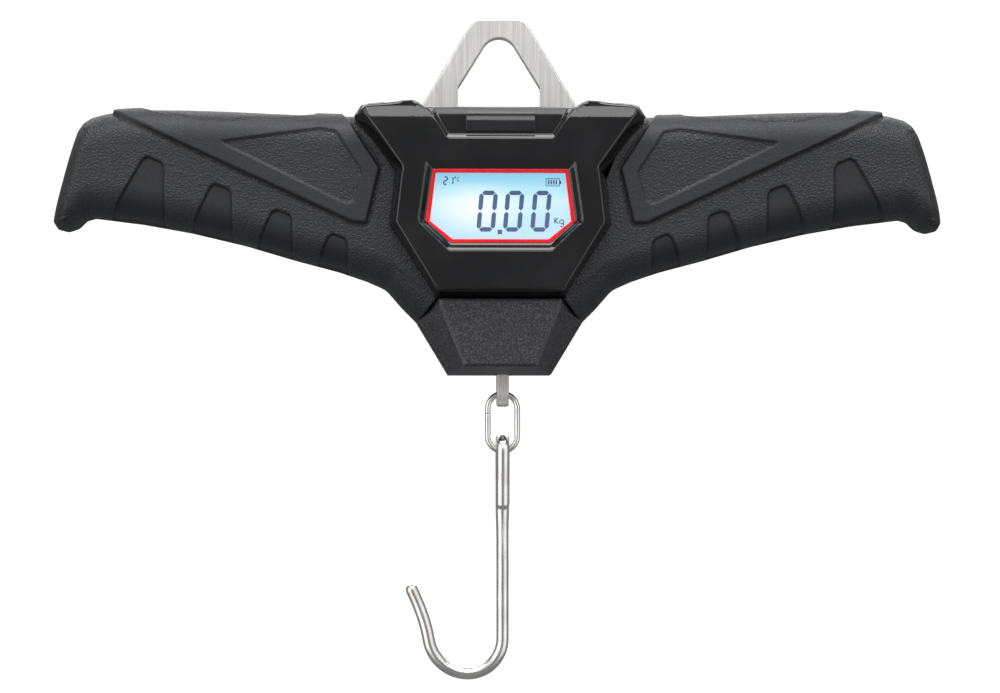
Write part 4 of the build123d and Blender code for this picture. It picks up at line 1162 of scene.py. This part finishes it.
@dataclass
class LoadTrain:
    """The hanger plate at the top, and the tab, split ring and hook at the bottom."""

    middle_x: float = 1.3
    ring_wire: float = 1.03
    ring_half: float = 5.3
    ring_top: float = -128.05
    ring_low: float = -148.55
    joint_z: float = -135.2
    joint_gap: float = 0.25
    eye_wire: float = 2.45
    eye_radius: float = 4.1
    leg_y: float = 2.5
    leg_top: float = -160.5
    leg_end: float = -167.4
    shank_wire: float = 2.2
    shank_middle: float = -190.0
    swell_length: float = 12.0
    bend_z: float = -215.9
    bend_right: float = 12.35
    bend_left: float = 14.3
    bend_sweep: float = 81.0
    tip: Point = (-31.2, -198.4)
    tip_heading: Point = (-0.42, 0.90)
    plate: Brushed = Brushed("brushed_steel", (0.90, 0.875, 0.85))
    tab: Brushed = Brushed("tab_steel", (0.90, 0.87, 0.84), 0.28, metallic=0.35)
    ring_metal: Polished = Polished("ring_steel", (0.93, 0.91, 0.88), 0.20)
    hook_metal: Polished = Polished("hook_steel", (0.93, 0.90, 0.87), 0.20)

    def ring(self) -> bpy.types.Object:
        """A stadium of wire in the XZ plane, open at its butt joint."""
        top, low = self.ring_top - self.ring_half, self.ring_low + self.ring_half
        left, right = self.middle_x - self.ring_half, self.middle_x + self.ring_half
        gap = self.joint_gap / 2 + 0.35
        line = np.concatenate(
            [
                [(left, self.joint_z + gap)],
                arc((self.middle_x, top), self.ring_half, 180.0, -180.0, 40),
                [(right, low)],
                arc((self.middle_x, low), self.ring_half, 0.0, -180.0, 40),
                [(left, self.joint_z - gap)],
            ]
        )
        path = even(np.stack([line[:, 0], 0 * line[:, 0], line[:, 1]], axis=-1), 0.35)
        return tube("link_ring_wire", path, np.full(len(path), self.ring_wire), 24)

    def hook(self) -> bpy.types.Object:
        """The hook's wire: a doubled eye in the YZ plane, then shank, bowl and flared tip in the XZ plane."""
        low, x = self.ring_low, self.middle_x
        front, rear = -self.leg_y, self.leg_y
        up = 0.7 * (low - self.leg_top)
        side = np.concatenate(
            [
                [(front, self.leg_end), (front, self.leg_top)],
                bend((front, self.leg_top), (-self.eye_radius, low), (0, up), (0, up), 30),
                arc((0.0, low), self.eye_radius, 180.0, -180.0, 40),
                bend((self.eye_radius, low), (rear, self.leg_top), (0, -up), (0, -up), 30),
                bend((rear, self.leg_end), (0.0, self.shank_middle), (0, -24.0), (0, -24.0), 30),
            ]
        )
        upper = np.stack([np.full(len(side), x), side[:, 0], side[:, 1]], axis=-1)
        centre = x - self.bend_right
        bottom = self.bend_z - self.bend_right
        right = arc((centre, self.bend_z), self.bend_right, 0.0, -90.0, 40)
        left = arc((centre, bottom + self.bend_left), self.bend_left, -90.0, -self.bend_sweep, 36)
        heading = np.array(self.tip_heading) / np.hypot(*self.tip_heading)
        lean = math.radians(90.0 - self.bend_sweep)
        leave = np.array((-math.sin(lean), math.cos(lean)))
        reach = float(np.linalg.norm(np.array(self.tip) - left[-1]))
        rise = bend(left[-1], self.tip, leave * reach, heading * reach, 30)
        plane = np.concatenate([right, left, rise])
        lower = np.stack([plane[:, 0], 0 * plane[:, 0], plane[:, 1]], axis=-1)
        path = soften(even(np.concatenate([upper, lower]), 0.55), 4)
        swell = ease(path[:, 2], self.leg_end - self.swell_length, self.leg_end)
        wire = self.shank_wire + (self.eye_wire - self.shank_wire) * swell
        return tube("hook_wire", path, wire, 36)

    def build(self) -> None:
        """All four pieces of the train."""
        dress(softened("hanger_plate", "hanger_bar", 0.7), self.plate.build(), "body")
        dress(softened("load_tab", "load_tab_bar", 0.4), self.tab.build(), "body")
        ring = self.ring()
        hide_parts("link_ring")
        dress(ring, self.ring_metal.build(), "ring")
        hook = self.hook()
        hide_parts("hook")
        dress(hook, self.hook_metal.build(), "hook")


# ---------------------------------------------------------------- inner parts


@dataclass
class Internals:
    """Finishes of the parts inside, which keep their CAD shape."""

    finishes: tuple[tuple[Any, tuple[str, ...]], ...] = (
        (Gloss("backlight", (0.75, 0.80, 0.84), 0.3, 0.1), ("lcd_backlight",)),
        (Moulded("inner_plastic", (0.10, 0.10, 0.11), 0.5), ("lcd_holder", "battery_box")),
        (Moulded("seal_rubber", (0.015, 0.015, 0.016), 0.7), ("hanger_seal", "tab_gland", "zebra_connectors")),
        (Moulded("gasket_rubber", (0.05, 0.05, 0.055), 0.7), ("door_gasket",)),
        (Gloss("board_green", (0.02, 0.14, 0.05), 0.35, 0.3), ("main_board", "button_board")),
        (Moulded("chip_black", (0.02, 0.02, 0.02), 0.4), ("board_chips", "tact_switches")),
        (Brushed("cell_aluminium", (0.72, 0.73, 0.75), 0.36), ("load_cell",)),
        (Gloss("gauge_film", (0.55, 0.36, 0.10), 0.3, 0.4), ("strain_gauges",)),
        (Polished("bolt_steel", (0.6, 0.6, 0.58), 0.24, 0.2), ("hanger_bolts", "tab_pin", "board_screws")),
        (Gloss("cell_jacket", (0.04, 0.07, 0.16), 0.25, 0.4), ("batteries",)),
        (Polished("nickel", (0.66, 0.64, 0.6), 0.2), ("battery_contacts",)),
        (Moulded("cable_grey", (0.22, 0.22, 0.23), 0.5), ("cell_cable", "button_cable")),
        (Moulded("cable_red", (0.42, 0.02, 0.02), 0.5), ("battery_leads",)),
    )

    def build(self) -> None:
        """Each finish is made once for all its nodes."""
        for finish, nodes in self.finishes:
            material = finish.build()
            for node in nodes:
                carry(node, material)


# ---------------------------------------------------------------- studio


@dataclass
class Studio:
    """A pale paper room, soft boxes and the camera."""

    centre: tuple[float, float, float] = (0.0004, 0.0, -0.1110)
    distance: float = 1.0
    lens: float = 100.0
    azimuth: float = -1.6
    elevation: float = -2.0
    floor_z: float = -0.45
    room_radius: float = 3.2

    def room(self) -> None:
        """Floor and wall as one sheet of revolution: a flat run, a quarter circle, then a wall.

        The paper shows to the camera only, so it doesn't wash out the metal's dark edges.
        """
        corner = arc((self.room_radius - 0.6, self.floor_z + 0.6), 0.6, -90.0, 90.0, 20)
        line = np.concatenate([[(0.02, self.floor_z)], corner, [(self.room_radius, 4.0)]])
        turn = np.linspace(0.0, 2 * math.pi, 72, endpoint=False)[None]
        radius, height = line[:, :1], line[:, 1:]
        points = np.stack(np.broadcast_arrays(radius * np.cos(turn), radius * np.sin(turn), height), axis=-1)
        faces = grid_faces(len(line), 72, around=True, flip=True).tolist() + [list(range(72))]
        sheet = new_object("paper_room", points / MM, faces)
        s = Shader("studio_paper")
        mottle = s.noise(3.0, 2.0) * 0.5
        s.set(Base_Color=s.mix(mottle, (0.30, 0.30, 0.30), (0.26, 0.26, 0.26)), Roughness=0.9)
        s.set(Emission_Color=s.mix(mottle, (1.0, 1.0, 1.0), (0.985, 0.985, 0.985)), Emission_Strength=1.0)
        sheet.data.materials.append(s.material)
        sheet.visible_diffuse = sheet.visible_glossy = sheet.visible_shadow = False

    def lamp(self, name: str, place: Sequence[float], size: Point, watts: float) -> None:
        """A rectangular soft box that faces the object's middle.

        Args:
            name: the lamp's name.
            place: where it stands, in metres.
            size: its width and height, in metres.
            watts: its power.
        """
        data = bpy.data.lights.new(name, "AREA")
        data.shape = "RECTANGLE"
        data.size, data.size_y = size
        data.energy = watts
        lamp = bpy.data.objects.new(name, data)
        lamp.location = place
        lamp.rotation_euler = (Vector(self.centre) - Vector(place)).to_track_quat("-Z", "Y").to_euler()
        lamp.visible_camera = False
        bpy.context.scene.collection.objects.link(lamp)

    def build(self) -> None:
        """World, sweep, lamps and camera."""
        scene = bpy.context.scene
        world = bpy.data.worlds.new("studio")
        world.use_nodes = True
        world.node_tree.nodes["Background"].inputs[0].default_value = (0.95, 0.97, 1.0, 1.0)
        world.node_tree.nodes["Background"].inputs[1].default_value = 0.22
        scene.world = world
        scene.view_settings.view_transform = "Standard"
        self.room()
        self.lamp("top_box", (0.0, -0.30, 0.80), (1.3, 0.6), 12.0)
        self.lamp("left_box", (-0.95, -0.75, -0.05), (1.3, 1.5), 7.5)
        self.lamp("right_box", (0.95, -0.75, -0.05), (1.3, 1.5), 5.0)
        self.lamp("front_box", (0.1, -1.4, 0.75), (1.0, 0.5), 5.0)
        self.lamp("back_box", (0.0, 0.8, 0.6), (1.4, 0.6), 6.0)
        data = bpy.data.cameras.new("camera")
        data.lens = self.lens
        camera = bpy.data.objects.new("camera", data)
        az, el = math.radians(self.azimuth), math.radians(self.elevation)
        way = Vector((math.sin(az) * math.cos(el), -math.cos(az) * math.cos(el), math.sin(el)))
        camera.location = Vector(self.centre) + way * self.distance
        camera.rotation_euler = (-way).to_track_quat("-Z", "Y").to_euler()
        scene.collection.objects.link(camera)
        scene.camera = camera


def main() -> None:
    """Builds the sub-assemblies in order."""
    logging.basicConfig(level=logging.INFO, format="%(message)s")
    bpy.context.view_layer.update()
    for part in (Grips(), DisplayHead(), Housing(), LoadTrain(), Internals(), Studio()):
        part.build()
        LOG.info("%s done", type(part).__name__)
    bpy.context.view_layer.update()


if __name__ == "__main__":
    main()
